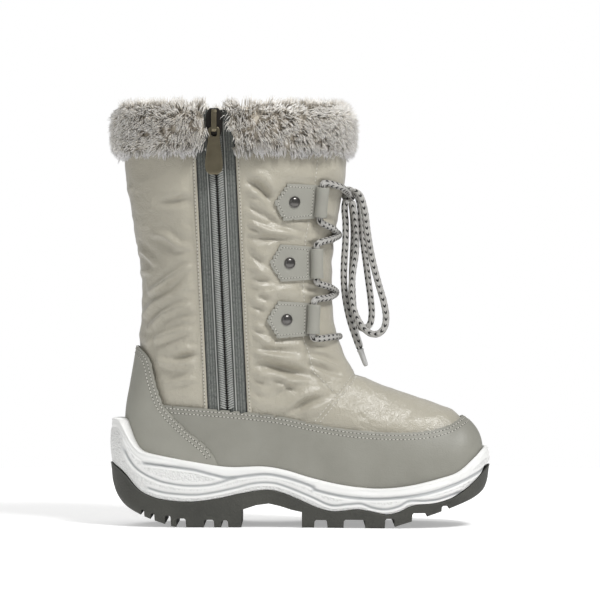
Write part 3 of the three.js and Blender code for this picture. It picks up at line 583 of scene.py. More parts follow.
# The rand: a smooth band of grey leather glued round the foot, from a stitched top edge down
# into the sole's cup, and the heel counter: a second, cupped piece sewn over it at the back.
GAP, LEATHER = 0.3 * MM, 1.3 * MM
OVERLAY = GAP + LEATHER
COUNTER_OUT = OVERLAY + 0.9 * MM
HALF = 1

rand_leather = stuff("rand_leather", shade(147, 146, 137), shade(124, 123, 114), 1100, 0.1 * MM,
                     0.5, grain_tone=0.18, ripple=0.8)
counter_leather = stuff("counter_leather", shade(156, 155, 145), shade(136, 135, 126), 1100,
                        0.1 * MM, 0.48, grain_tone=0.16, ripple=0.8)


def walled(piece, thick, round_edge=0.35 * MM):
    """Gives a sheet its thickness inwards and a rounded edge."""
    wall = piece.modifiers.new("wall", "SOLIDIFY")
    wall.thickness = thick
    wall.offset = -1
    edge = piece.modifiers.new("edge", "BEVEL")
    edge.width = round_edge
    edge.segments = 2
    edge.limit_method = "ANGLE"
    edge.angle_limit = math.radians(60)
    return piece


def panel(name, rows, turns, across, along, out, inside):
    """A sheet laid on the last where inside(place) is below 0, with its edge on that line."""
    def place(u, v):
        share = mix(np.interp(rows[0], fine_rows, row_run), np.interp(rows[1], fine_rows, row_run), v)
        turn = mix(turns[0], turns[1], u)
        cell_share, cell_turn = 1 / along, (turns[1] - turns[0]) / across
        cell_share *= np.interp(rows[1], fine_rows, row_run) - np.interp(rows[0], fine_rows, row_run)

        def measure(s, t):
            return inside(last_point(row_at(s), t))

        for _ in range(3):
            here = measure(share, turn)
            down = measure(share + 0.1 * cell_share, turn) - here
            round_ = measure(share, turn + 0.1 * cell_turn) - here
            size = np.maximum(down**2 + round_**2, 1e-14)
            step_down, step_round = -here * down / size * 0.1, -here * round_ / size * 0.1
            near = np.hypot(step_down, step_round) < 0.52
            share = np.where(near, share + step_down * cell_share, share)
            turn = np.where(near, turn + step_round * cell_turn, turn)
        row = row_at(share)
        made = off_last(row, turn, out)
        gone = measure(share, turn) > 0.12 * MM
        bed = height_on(BED_LINE, made[:, 0]) + BED_CLEAR
        gone |= made[:, 2] < bed - 3 * MM
        made[:, 2] = np.maximum(made[:, 2], bed)
        made[gone] = np.nan
        return made

    return laid(name, across, along, place, join=True)


def under_rand_edge(place):
    return above_line(RAND_EDGE, place[..., 0], place[..., 2])


def behind_counter_edge(place):
    x, z = place[..., 0], place[..., 2]
    away, _ = off_path(x, z, COUNTER_EDGE[::2] / MM)
    return np.where(above_line(COUNTER_EDGE, x, z) > 0, away, -away)


rand = panel("rand_panel", (6, LAST_ROW), (0, 2 * math.pi), 240 // HALF, 110 // HALF, OVERLAY,
             under_rand_edge)
finish(walled(rand, LEATHER), rand_leather, "leather", "rand")
counter = panel("counter_panel", (5, 14), (0.36 * math.pi, 1.64 * math.pi), 220 // HALF,
                130 // HALF, COUNTER_OUT, behind_counter_edge)
finish(walled(counter, LEATHER), counter_leather, "leather", "heel_counter")


def copies(name, template, places, turns):
    """One mesh of many copies of a small bmesh shape: places and 3 by 3 turns for each."""
    shape_points = np.array([v.co for v in template.verts])
    shape_faces = [[v.index for v in f.verts] for f in template.faces]
    places, turns = np.asarray(places), np.asarray(turns)
    points = np.einsum("nij,kj->nki", turns, shape_points) + places[:, None]
    starts = np.arange(len(places)) * len(shape_points)
    faces = [[i + start for i in face] for start in starts.tolist() for face in shape_faces]
    mesh = bpy.data.meshes.new(name)
    mesh.from_pydata(points.reshape(-1, 3).tolist(), [], faces)
    mesh.shade_smooth()
    made = bpy.data.objects.new(name, mesh)
    bpy.context.collection.objects.link(made)
    return made


def pellet(long, wide, high, detail=1):
    """A small rounded bead, long along X and low along Z."""
    made = bmesh.new()
    bmesh.ops.create_icosphere(made, subdivisions=detail, radius=0.5)
    bmesh.ops.scale(made, vec=(long, wide, high), verts=made.verts)
    made.verts.index_update()
    return made


def frames_along(points, outward, pitch, slant=0.0, start=0.5):
    """Places at equal steps on a line of points, with the turns that face along and out."""
    points, outward = np.asarray(points), np.asarray(outward)
    run = run_along(points)
    at = np.arange(pitch * start, run[-1], pitch)
    places, out = (np.stack([np.interp(at, run, v[:, k]) for k in range(3)], -1)
                   for v in (points, outward))
    ahead = np.stack([np.interp(at + 1e-4, run, points[:, k])
                      - np.interp(at - 1e-4, run, points[:, k]) for k in range(3)], -1)
    out /= np.linalg.norm(out, axis=1, keepdims=True)
    ahead -= out * (ahead * out).sum(1, keepdims=True)
    ahead /= np.maximum(np.linalg.norm(ahead, axis=1, keepdims=True), 1e-12)
    side = np.cross(out, ahead)
    if slant:
        ahead, side = (ahead * math.cos(slant) + side * math.sin(slant),
                       side * math.cos(slant) - ahead * math.sin(slant))
    return places, np.stack([ahead, side, out], -1)


def edge_contour(inside, inset, out, turns):
    """The line on the last a distance inside a panel's edge, and its normals."""
    rows = row_at(np.linspace(0.15, 1, 900))
    value = inside(last_point(rows[:, None], turns[None])) + inset
    entered = (value[:-1] > 0) & (value[1:] <= 0)
    found = entered.any(0)
    first = entered.argmax(0)[found]
    turns = turns[found]
    a, b = value[first, np.flatnonzero(found)], value[first + 1, np.flatnonzero(found)]
    row = mix(rows[first], rows[first + 1], a / (a - b))
    return off_last(row, turns, out), last_normal(row, turns)


thread = stuff("pale_thread", shade(218, 216, 208), shade(186, 183, 174), 3000, 0.1 * MM, 0.7)
STITCH = (2.1 * MM, 0.75 * MM, 0.6 * MM)
STITCH_PITCH = 2.7 * MM
# Dark beads put at each needle hole: painted shade where the thread goes into the leather.
needle_shade_stuff = stuff("needle_hole_shade", shade(66, 64, 60), shade(44, 43, 41), 1500, 0.1 * MM, 0.9)


def stitch_rows(name, lines, slot="leather", size=STITCH, pitch=STITCH_PITCH, hole_shade=True):
    """Rows of stitches on (points, normals) lines, as one piece, and dark beads of painted shade at each
    needle hole as another.
    """
    long, wide, high = size
    kinds = [(name, thread, size, 0.5)]
    # The dark beads between the stitches are painted shade, one at each needle hole.
    if hole_shade:
        kinds.append((f"{name}_holes", needle_shade_stuff, (long * 0.34, wide, high * 0.7), 0))
    for label, material, bead, start in kinds:
        made = [frames_along(points, outward, pitch, start=start) for points, outward in lines]
        rows = copies(label, pellet(*bead), np.vstack([m[0] for m in made]),
                      np.vstack([m[1] for m in made]))
        finish(rows, material, slot)


around = np.linspace(0, 2 * math.pi, 1400)
behind = np.linspace(0.42 * math.pi, 1.58 * math.pi, 360)
stitch_rows("rand_stitches", [edge_contour(under_rand_edge, inset, OVERLAY + 0.1 * MM, around)
                              for inset in (2 * MM, 4.8 * MM)])
counter_lines = []
for inset in (2 * MM, 4.8 * MM):
    points, outward = edge_contour(behind_counter_edge, inset, COUNTER_OUT + 0.1 * MM, behind)
    kept = points[:, 0] < -58 * MM
    counter_lines.append((points[kept], outward[kept]))
stitch_rows("counter_stitches", counter_lines)

# The midsole: a cup of white foam moulded round the rand, with a rounded rim, smooth ribs and
# grooves that run its whole length, and stippled fields between them.
PART_LINE = side_line(
    (-140, 48), (-130, 42), (-124, 37), (-118, 30), (-112, 25), (-100, 20.5), (-80, 18.5),
    (-60, 20.5), (-43, 24.2), (-24, 27.2), (-12, 25), (0, 20), (12, 14.8), (24, 12), (40, 13.6),
    (50, 12.2), (61, 10.2), (70, 12), (80, 16.5), (95, 18), (107, 21.3), (119, 28.5), (130, 39),
    (140, 48))
RIM_LINE = side_line(
    (-140, 77), (-131, 76.5), (-127, 71.5), (-120, 60), (-113, 54), (-100, 51), (-72, 46.2),
    (-50, 43.2), (-26, 43.6), (-10, 41), (9, 35.4), (32, 30.3), (55, 28.2), (78, 30.3),
    (101, 35.7), (113, 40), (124, 49.5), (131, 55.5), (140, 58))
# Half widths of the plan along its length, in hundredths of sole length and ball width.
PLAN = [(-48.8, 15, 15), (-46, 26, 26), (-40, 34.5, 35), (-30, 39, 40), (-16, 39, 43),
        (0, 40.5, 46), (14, 46, 49.5), (24, 49.5, 50.5), (32, 50, 48), (39, 46.5, 41),
        (44.5, 39, 30), (48, 28, 15.5), (49.8, 15, 1)]
SOLE_AROUND, SOLE_UP = 300 // HALF, 60
GROOVE_TOP = side_line(
    (-111, 45.4), (-95.6, 43.7), (-76, 41.2), (-62, 37.8), (-51, 35.6), (-37.7, 36.9),
    (-23, 38), (-8.7, 35.4), (7.6, 30), (12.5, 26.7), (31.8, 22.4), (51, 20.9), (70.4, 21.9),
    (89.8, 24.8), (109, 30.6), (123.6, 37.4), (140, 46))
GROOVE_HEEL = side_line((-125, 55), (-122, 49), (-117.5, 43), (-111, 38.2), (-103, 34.4), (-95.6, 32),
                        (-81, 29.8), (-66.7, 30), (-57, 32), (-47, 35.4))
GROOVE_LOW = side_line(
    (-107.7, 28), (-95.6, 24.8), (-76, 23.3), (-62, 24.8), (-47, 28), (-33, 31.5), (-20, 32),
    (-8.7, 29), (7.6, 22.4), (22, 16.3), (33.7, 17), (43.4, 17.5), (51, 15), (60.8, 13.7),
    (70.4, 16), (77.2, 19.5), (89.8, 19.8), (99.4, 21.1), (114, 25.8))
# depth, half width and the groove's line
MOULDED_GROOVES = ((1.5 * MM, 1.3 * MM, GROOVE_TOP), (1.2 * MM, 1.2 * MM, GROOVE_HEEL),
                   (1.2 * MM, 1.2 * MM, GROOVE_LOW))


def threaded(points, steps):
    """A smooth curve through points, from the second to the last but one."""
    t = np.linspace(0, 1, steps, endpoint=False)[:, None]
    runs = []
    for a, b, c, d in zip(points, points[1:], points[2:], points[3:]):
        before, here, after = (np.linalg.norm(q - p) ** 0.5 for p, q in ((a, b), (b, c), (c, d)))
        leaving = ((b - a) / before - (c - a) / (before + here)) * here + (c - b)
        meeting = ((d - c) / after - (d - b) / (here + after)) * here + (c - b)
        runs.append(arc(b, c, leaving, meeting, t))
    return np.vstack(runs)


def plan_outline(count):
    """Points of the sole's outline, evenly spaced, from the heel round the outer side, and the
    directions that point out of it."""
    ring = [(-50, 0), *((x, outer) for x, _, outer in PLAN),
            *((x, -inner) for x, inner, _ in PLAN[::-1])]
    ring = np.array(ring) * (SOLE_LENGTH / 100, BALL_WIDTH / 100)
    dense = threaded(np.vstack([ring[-1:], ring, ring[:2]]), 16)
    dense = np.vstack([dense, dense[:1]])
    run = run_along(dense)
    at = np.arange(count) / count * run[-1]
    points = np.stack([np.interp(at, run, dense[:, k]) for k in (0, 1)], -1)
    ahead = np.roll(points, -2, 0) - np.roll(points, 2, 0)
    ahead /= np.linalg.norm(ahead, axis=1, keepdims=True)
    return points, np.stack([-ahead[:, 1], ahead[:, 0]], -1)


plan, plan_out = plan_outline(SOLE_AROUND)
mates = -np.arange(SOLE_AROUND) % SOLE_AROUND
plan_middle = np.column_stack([(plan[:, 0] + plan[mates, 0]) * 0.45, np.zeros(SOLE_AROUND)])

cup = bmesh.new()
bmesh.ops.create_grid(cup, x_segments=140, y_segments=160, size=0.5)
flat = np.array([v.co[:2] for v in cup.verts]) + 0.5
for vert, at in zip(cup.verts, off_last(row_at(flat[:, 1]), flat[:, 0] * 2 * math.pi,
                                        COUNTER_OUT - 0.2 * MM)):
    vert.co = at
cup_surface = BVHTree.FromBMesh(cup)
cup.free()
WALL_FROM, WALL_STEPS, RIM_STEPS = 4, 45, 5
RIM_FROM, WALL_LEVELS = WALL_FROM + WALL_STEPS, WALL_STEPS + 1
RIM_ROUND, FOAM_LEAST, RIB_HALF = 2.2 * MM, 2.2 * MM, 2.2 * MM
UNDER_IN = np.array([60, 22, 6, 2.2]) * MM
RAY_START = 40 * MM
wall_share = np.linspace(0, 1, WALL_LEVELS)


def leather_inside(z):
    """How far inside the plan outline the leather lies at heights z round the sole."""
    found = []
    for (x, y), (out_x, out_y), height in zip(plan, plan_out, z):
        start = (x + out_x * RAY_START, y + out_y * RAY_START, height)
        hit = cup_surface.ray_cast(start, (-out_x, -out_y, 0), 3 * RAY_START)
        found.append(hit[3] - RAY_START if hit[0] else np.nan)
    found = np.array(found)
    known = np.isfinite(found)
    count = np.arange(len(found))
    found = np.interp(count, count[known], found[known], period=len(found))
    for _ in range(4):
        found = (np.roll(found, 1) + 2 * found + np.roll(found, -1)) / 4
    return found


part_z, rim_z = height_on(PART_LINE, plan[:, 0]), height_on(RIM_LINE, plan[:, 0])
reach = leather_inside(rim_z - 0.5 * MM)
least_out = np.array([FOAM_LEAST - leather_inside(mix(part_z, rim_z - RIM_ROUND, t))
                      for t in wall_share])


def groove_cut(x, z):
    """How deep the moulded grooves are at side-view places, and how near a rib is, 0 to 1."""
    depth, rib = np.zeros(np.shape(x)), np.zeros(np.shape(x))
    for deep, half, line in MOULDED_GROOVES:
        away = above_line(line, x, z)
        over = np.maximum(line[0, 0] - x, x - line[-1, 0])
        on = 1 - smooth(over / (5 * MM) + 0.2)
        depth += deep * on * np.exp(-((away / half) ** 2))
        rib = np.maximum(rib, on * (1 - smooth((np.abs(away) - RIB_HALF) / (1 * MM))))
    return depth, rib


def ring_step(u):
    """Which point of the sole's outline a share of the way round it is."""
    return np.rint(u * SOLE_AROUND).astype(int) % SOLE_AROUND


def midsole_place(u, v):
    n = ring_step(u)
    x = plan[n, 0]
    low, high = part_z[n], rim_z[n]
    level = np.rint(v * SOLE_UP).astype(int)
    # Levels 0 to 3 run in underneath, 4 to 49 up the wall, 50 to 56 over the rim, the rest down.
    wall = np.clip((level - WALL_FROM) / WALL_STEPS, 0, 1)
    z = mix(low, high - RIM_ROUND, wall)
    bulge = -0.9 * MM * (2 * wall - 1) ** 2 + 0.5 * MM * np.sin(wall * math.pi)
    depth, _ = groove_cut(x, z)
    out = bulge - depth
    out -= 0.5 * MM * np.exp(-((((high - z) - 6.5 * MM) / (1.1 * MM)) ** 2))
    wall_level = np.clip(level - WALL_FROM, 0, WALL_STEPS)
    out = np.maximum(out, least_out[wall_level, n] - depth * 0.7)
    under = level < WALL_FROM
    out = np.where(under, -UNDER_IN[np.minimum(level, 3)], out)
    z = np.where(under, low, z)
    over = np.clip((level - RIM_FROM) / RIM_STEPS, 0, 1) * math.pi / 2
    rim = (level > RIM_FROM) & (level <= RIM_FROM + RIM_STEPS)
    top_out = np.maximum(-0.4 * MM, least_out[-1, n])
    out = np.where(rim, top_out - RIM_ROUND * (1 - np.cos(over)), out)
    z = np.where(rim, high - RIM_ROUND + RIM_ROUND * np.sin(over), z)
    inner = reach[n] - 0.1 * MM
    steps = {55: (inner, high + 0 * x), 56: (inner + 0.3 * MM, high - 4 * MM),
             57: (inner + 2 * MM, height_on(BED_LINE, x) - 1 * MM)}
    for k, (far, height) in steps.items():
        out = np.where(level == k, -far, out)
        z = np.where(level == k, height, z)
    inside = level > 57
    share = np.clip((level - 57) / 3, 0, 1)
    edge = plan[n] + plan_out[n] * out[:, None]
    middle = plan_middle[n]
    start = plan[n] - plan_out[n] * (inner + 2 * MM)[:, None]
    edge = np.where(inside[:, None], mix(start, middle, share[:, None]), edge)
    flat_middle = level == 0
    edge = np.where(flat_middle[:, None], middle, edge)
    z = np.where(flat_middle, height_on(PART_LINE, edge[:, 0]), z)
    z = np.where(inside, height_on(BED_LINE, edge[:, 0]) - 1 * MM, z)
    return np.column_stack([edge, z])


midsole = laid("midsole_foam", SOLE_AROUND, SOLE_UP, midsole_place, join=True)
points = np.array([v.co for v in midsole.data.vertices])
depth, rib = groove_cut(points[:, 0], points[:, 2])
top = smooth((points[:, 2] - height_on(RIM_LINE, points[:, 0]) + 8.5 * MM) / (1.5 * MM))
smooth_ribs = midsole.data.attributes.new("smooth_rib", "FLOAT", "POINT")
smooth_ribs.data.foreach_set("value", np.maximum(rib, top))
# The groove mark drives painted shade: a darker grey down the middle of each moulded groove.
groove_shade_mark = midsole.data.attributes.new("groove", "FLOAT", "POINT")
groove_shade_mark.data.foreach_set("value", np.clip(depth / (1.1 * MM), 0, 1) ** 2)
foam, tree, shader = new_material("white_foam", Roughness=0.55)
place = node(tree, "ShaderNodeTexCoord").outputs["Object"]
dots = node(tree, "ShaderNodeTexVoronoi", {"Scale": 620, "Vector": place})
cloud = node(tree, "ShaderNodeTexNoise", {"Scale": 30, "Vector": place})
stipple_and_shade = maths(tree, "MULTIPLY", dots.outputs["Distance"],
                maths(tree, "SUBTRACT", 1.0, spotted(tree, "smooth_rib")))
tone = mixed(tree, cloud.outputs[0], shade(224, 224, 222), shade(236, 236, 234))
# Painted shade: the stippled fields turn darker grey in their dents, which the bump below sinks.
tone = mixed(tree, maths(tree, "MULTIPLY", stipple_and_shade, 0.4), tone, shade(170, 171, 170))
# Painted shade: the foam turns darker grey in the moulded grooves.
tone = mixed(tree, spotted(tree, "groove"), tone, shade(172, 174, 175))
painted(tree, shader, tone, stipple_and_shade, 0.6 * MM, invert=True)
finish(midsole, foam, "cup_sole", "midsole")

# The outsole: dark rubber moulded under the cup and lapped up its side, with a toe spring, lugs
# parted by grooves across and two channels along, and a raised waist at the arch.
TREAD_LINE = side_line(
    (-137, 33), (-132, 23), (-124, 14.5), (-112, 8), (-100, 3.6), (-86, 0), (-60, 0), (-20, 0),
    (20, 0), (60, 0), (72, 2.6), (84, 6.4), (98, 11), (112, 16), (124, 21), (133, 27), (137, 34))
TREAD_LINE[:, 1] = np.maximum(TREAD_LINE[:, 1], 0)
# each groove's rear and front edge and its top, in mm
GROOVES = ((-122, -119.4, 17.5), (-113, -110.8, 12.6), (-106, -103.4, 10), (-95.6, -91.8, 8.6),
           (-87.5, -81, 6.5), (-68, -61, 5.6), (-55.6, -51, 5.2), (10.5, 19.5, 5.6), (31.3, 46.3, 6),
           (60.5, 67, 7), (79.5, 90, 11), (100.5, 105.7, 16), (117, 122.6, 21.6))
ARCH_CUT = ((-41.5, -5), (-41.5, 12.6), (-37, 14), (-31, 16), (-22, 17.2), (-14, 15.4),
            (-6, 12.8), (1.5, 11.2), (1.5, -5))
GROOVE_LIP = 0.6
CHANNEL_Y, CHANNEL_WIDE, CHANNEL_DEEP, CHANNEL_END = 17 * MM, 6 * MM, 4.5 * MM, 114 * MM
# how far above its line each level stands, and how far outside the plan
SOLE_LEVELS = ((None, 0, -60), (TREAD_LINE, 0, -20), (TREAD_LINE, 0, -5), (TREAD_LINE, 0.4, -3.9),
               (TREAD_LINE, 1.2, -3), (TREAD_LINE, 3, -1.8), (TREAD_LINE, 5, -1),
               (PART_LINE, -2, -0.1), (PART_LINE, -0.9, 0.3), (PART_LINE, -0.3, -0.3),
               (PART_LINE, -0.3, -6), (PART_LINE, -0.3, -20), (None, 0, -60))


def outsole_place(u, v):
    n = ring_step(u)
    level = np.rint(v * (len(SOLE_LEVELS) - 1)).astype(int)
    made = np.zeros((len(u), 3))
    for k, (line, rise, out) in enumerate(SOLE_LEVELS):
        on = level == k
        m = n[on]
        if line is None:
            edge = plan_middle[m]
            line = TREAD_LINE if k == 0 else PART_LINE
            rise = 0 if k == 0 else -0.3
        else:
            edge = plan[m] + plan_out[m] * out * MM
        made[on] = np.column_stack([edge, height_on(line, edge[:, 0]) + rise * MM])
    return made


outsole = laid("outsole_rubber", SOLE_AROUND, len(SOLE_LEVELS) - 1, outsole_place, join=True)


def cutter(name, outline, from_y, to_y):
    """A side-view outline, in mm, drawn out across the boot, as a tool to cut with."""
    shape = bmesh.new()
    ring = [shape.verts.new((x * MM, from_y, z * MM)) for x, z in outline]
    face = shape.faces.new(ring)
    drawn = bmesh.ops.extrude_face_region(shape, geom=[face])
    verts = [g for g in drawn["geom"] if isinstance(g, bmesh.types.BMVert)]
    bmesh.ops.translate(shape, vec=(0, to_y - from_y, 0), verts=verts)
    bmesh.ops.recalc_face_normals(shape, faces=shape.faces)
    return piece_from(name, shape)


def cut(piece, tool):
    """Cuts a tool out of a piece and throws the tool away."""
    made = piece.modifiers.new("cut", "BOOLEAN")
    made.object = tool
    made.solver = "EXACT"
    shaped = bpy.data.meshes.new_from_object(piece.evaluated_get(bpy.context.evaluated_depsgraph_get()))
    piece.modifiers.clear()
    piece.data = shaped
    bpy.data.objects.remove(tool)


cut(outsole, cutter("arch_tool", ARCH_CUT, -0.1, 0.1))
for start, stop, top in GROOVES:
    cut(outsole, cutter("groove_tool", (
        (start - GROOVE_LIP, -6), (start, top - 1), (start + 1, top), (stop - 1, top), (stop, top - 1),
        (stop + GROOVE_LIP, -6)), -0.1, 0.1))
along = [p / MM for p in TREAD_LINE if abs(p[0]) < CHANNEL_END][::3]
for side in (-1, 1):
    outline = [(x, z + CHANNEL_DEEP / MM) for x, z in along] + [(along[-1][0], -8), (along[0][0], -8)]
    cut(outsole, cutter("channel_tool", outline, side * CHANNEL_Y - CHANNEL_WIDE / 2,
                        side * CHANNEL_Y + CHANNEL_WIDE / 2))
outsole.data.shade_smooth()
outsole.data.set_sharp_from_angle(angle=math.radians(38))
rubber = stuff("dark_rubber", shade(76, 76, 70), shade(52, 52, 48), 700, 0.25 * MM, 0.75,
               grain_tone=0.25, ripple=1.2)
outsole.data.materials.clear()
finish(outsole, rubber, "rubber", "outsole")

# The insole: a loose sock of thick felt that fills the cup inside the upper, cut to the last's
# outline and rounded at its edge. It lies on the upper's lasted floor.
INSOLE_LOW, INSOLE_THICK, INSOLE_LEVELS = 0.8 * MM, 3 * MM, 14
bed_reach = (leather_inside(height_on(BED_LINE, plan[:, 0]) + 3 * MM) + COUNTER_OUT - 0.2 * MM
             + WALL + 0.8 * MM)


def insole_place(u, v):
    n = ring_step(u)
    level = np.rint(v * INSOLE_LEVELS)
    # Levels 0 to 5 run out underneath, 6 to 8 round the edge and 9 to 14 back over the top.
    share = np.interp(level, (0, 5, 7, 9, 14), (0, 0.975, 1, 0.975, 0))
    rise = np.interp(level, (5, 6, 8, 9), (0, 0.25, 0.75, 1))
    at = mix(plan_middle[n], plan[n] - plan_out[n] * bed_reach[n][:, None], share[:, None])
    return np.column_stack([at, height_on(BED_LINE, at[:, 0]) + INSOLE_LOW + INSOLE_THICK * rise])


felt = stuff("grey_felt", shade(170, 163, 150), shade(128, 121, 110), 800, 0.5 * MM, 1.0,
             grain_tone=0.5)
sock = laid("insole_sock", SOLE_AROUND, INSOLE_LEVELS, insole_place, join=True)
finish(sock, felt, "felt", "insole")

# The zip: two woven tapes sewn under the folded edges of the nylon, each with a moulded coil on
# its inner edge, closed up to the slider near the collar.
TAPE_TOP, TAPE_APART = 296 * MM, 0.15 * MM
COIL_BOTTOM, COIL_MIDDLE, COIL_PITCH = 84.5 * MM, 2.75 * MM, 1.65 * MM
# The tape's ribs and picks, and the near-black strips of painted shade along its edges, under the nylon's
# fold and under the coils, in mm across it.
RIB_APART, PICK_APART, SHADE_STRIP_OUTSIDE, SHADE_STRIP_INSIDE = 1.9, 0.9, 13.2, 1.2
# The hem across its width, in mm: how far it lies outside the tape's edge, and off the last.
HEM = ((-0.1, -0.9), (-0.5, 0), (-0.2, 0.6), (0.4, 0.95), (1.4, 0.95), (2.3, 0.5), (3, -0.4))
HEM_STITCH = (1.3 * MM, 1.05 * MM)

tape_stuff, tree, shader = new_material("zip_tape_weave", Roughness=0.8)
split = node(tree, "ShaderNodeSeparateXYZ", {0: node(tree, "ShaderNodeUVMap").outputs[0]}).outputs
rib_wave, pick_wave = (maths(tree, "SINE", maths(tree, "MULTIPLY", split[k], 2 * math.pi / apart))
                       for k, apart in ((0, RIB_APART), (1, PICK_APART)))
weave = maths(tree, "MULTIPLY_ADD", maths(tree, "ADD", rib_wave, maths(tree, "MULTIPLY", pick_wave, 0.5)),
              0.3)
woven = mixed(tree, weave, shade(80, 83, 80), shade(140, 143, 138))
yarn = node(tree, "ShaderNodeTexVoronoi",
            {"Scale": 900, "Vector": node(tree, "ShaderNodeTexCoord").outputs["Object"]})
woven = mixed(tree, maths(tree, "MULTIPLY", yarn.outputs["Distance"], 0.75), woven, shade(58, 61, 59))
# Painted shade: near-black on the tape's outer edge, under the nylon's fold, and on its inner edge, under
# the coils.
edges = maths(tree, "MAXIMUM", maths(tree, "GREATER_THAN", split[0], SHADE_STRIP_OUTSIDE),
              maths(tree, "LESS_THAN", split[0], SHADE_STRIP_INSIDE))
painted(tree, shader, mixed(tree, edges, woven, shade(30, 31, 31)), weave, 0.35 * MM)
coil_stuff = stuff("coil_nylon", shade(172, 174, 170), shade(128, 130, 126), 900, 0.05 * MM, 0.4,
                   grain_tone=0.1)
# A dark cloth for the thin cord of painted shade under the nylon's fold.
fold_shade_cloth = stuff("fold_shadow_cord", shade(58, 58, 58), shade(40, 40, 40), 1500, 0.1 * MM, 0.8)


def tube(name, points, radius, around=14, step=1.1 * MM, cap=True):
    """A round cord along a smooth route through points, with its middle line."""
    points = np.array(points, float)
    ends = np.vstack([2 * points[0] - points[1], points, 2 * points[-1] - points[-2]])
    dense = np.vstack([threaded(ends, 24), points[-1:]])
    run = run_along(dense)
    length = run[-1]
    count = max(8, int(length / step))
    at = np.linspace(0, length, count + 1)
    middle = np.stack([np.interp(at, run, dense[:, k]) for k in range(3)], -1)
    ahead = np.gradient(middle, axis=0)
    ahead /= np.linalg.norm(ahead, axis=1, keepdims=True)
    side = np.cross(ahead[0], (0.3, 0.9, 0.2))
    sides = []
    for forward in ahead:
        side = side - forward * side.dot(forward)
        side /= np.linalg.norm(side)
        sides.append(side)
    sides = np.array(sides)
    ups = np.cross(ahead, sides)

    def place(u, v):
        n = np.rint(v * count).astype(int)
        size = np.full(len(n), radius)
        if cap:
            from_end = np.minimum(n, count - n)
            size = radius * np.interp(from_end, (0, 1, 2), (0, 0.8, 1))
        turn = u * 2 * math.pi
        return (middle[n] + (np.cos(turn) * size)[:, None] * sides[n]
                + (np.sin(turn) * size)[:, None] * ups[n])

    made = laid(name, around, count, place, join=True)
    stretch_uv(made, 1, length / MM)
    return made, middle, length


def stretch_uv(piece, across, along):
    """Scales a piece's UV map, so that it reads in its own units."""
    layer = piece.data.uv_layers[0].data
    values = np.empty(len(layer) * 2)
    layer.foreach_get("uv", values)
    values = values.reshape(-1, 2) * (across, along)
    layer.foreach_set("uv", values.ravel())


for name, sign in (("rear", -1), ("front", 1)):
    def tape_place(u, v, sign=sign):
        z = mix(ZIP_BOTTOM, TAPE_TOP, v)
        by = mix(TAPE_APART, TAPE_HALF, u)
        return on_side(zip_x(z) + sign * by, np.minimum(z, 0.2999), -1, -0.2 * MM)

    tape = laid(f"zip_tape_{name}_weave", 14, 90, tape_place)
    stretch_uv(tape, TAPE_HALF / MM, (TAPE_TOP - ZIP_BOTTOM) / MM)
    finish(walled(tape, 0.8 * MM, 0.1 * MM), tape_stuff, "zip_tape", f"zip_tape_{name}")
    z = np.linspace(COIL_BOTTOM, 279 * MM, 120)
    row, turn = spot(zip_x(z) + sign * COIL_MIDDLE, z, -1)
    places, turns = frames_along(off_last(row, turn, 0.75 * MM), last_normal(row, turn), COIL_PITCH,
                                 slant=sign * 0.42)
    coil = copies(f"zip_coil_{name}_teeth", pellet(1.4 * MM, 5 * MM, 1.9 * MM, 2), places, turns)
    finish(coil, coil_stuff, "zip_coil", f"zip_coil_{name}")
    # The cord sewn along the outer edge of each row of teeth, and a thin dark cord of painted shade under
    # the nylon's fold.
    z = np.linspace(ZIP_BOTTOM, 290 * MM, 60)
    for label, by, out, radius, material in (
            ("gimp", 6.3 * MM, 0.1 * MM, 0.55 * MM, coil_stuff),
            ("shadow_cord", TAPE_HALF - 0.2 * MM, -0.1 * MM, 0.3 * MM, fold_shade_cloth)):
        line, _, _ = tube(f"zip_{label}_{name}", on_side(zip_x(z) + sign * by, z, -1, out), radius, 8,
                          3 * MM)
        finish(line, material, "zip_tape")

    # The nylon's edge is turned under along the tape, in a narrow soft hem.
    def hem_place(u, v, sign=sign):
        z = mix(ZIP_BOTTOM - 1 * MM, UPPER_TOP - 1 * MM, v)
        by, out = (np.interp(u, np.linspace(0, 1, len(HEM)), [p[k] for p in HEM]) * MM
                   for k in (0, 1))
        return on_side(zip_x(z) + sign * (TAPE_HALF + by), z, -1, out)

    hem = laid(f"zip_hem_{name}", 12, 100, hem_place)
    finish(walled(hem, 0.3 * MM, 0.05 * MM), nylon, "nylon")

# The stitches that hold the tapes, and those of the seams, lie on the nylon itself.
skin_tree = BVHTree.FromPolygons([v.co for v in upper.data.vertices],
                                 [p.vertices for p in upper.data.polygons])


def on_skin(points, side, steps=80, lift=0.1 * MM):
    """A side-view line, in mm, dropped on the nylon: its points and normals."""
    points = np.array(points, float) * MM
    run = run_along(points)
    at = np.linspace(0, run[-1], steps)
    made, outward = [], []
    for x, z in zip(np.interp(at, run, points[:, 0]), np.interp(at, run, points[:, 1])):
        where, facing, _, _ = skin_tree.ray_cast((x, side * 0.2, z), (0, -side, 0))
        if where:
            facing = facing if facing.y * side > 0 else -facing
            made.append(where + facing * lift)
            outward.append(facing)
    return np.array(made), np.array(outward)


def beside_line(points, by):
    """A side-view line moved sideways."""
    points = np.array(points, float)
    ahead = np.gradient(points, axis=0)
    ahead /= np.linalg.norm(ahead, axis=1, keepdims=True)
    return points + np.stack([-ahead[:, 1], ahead[:, 0]], -1) * by


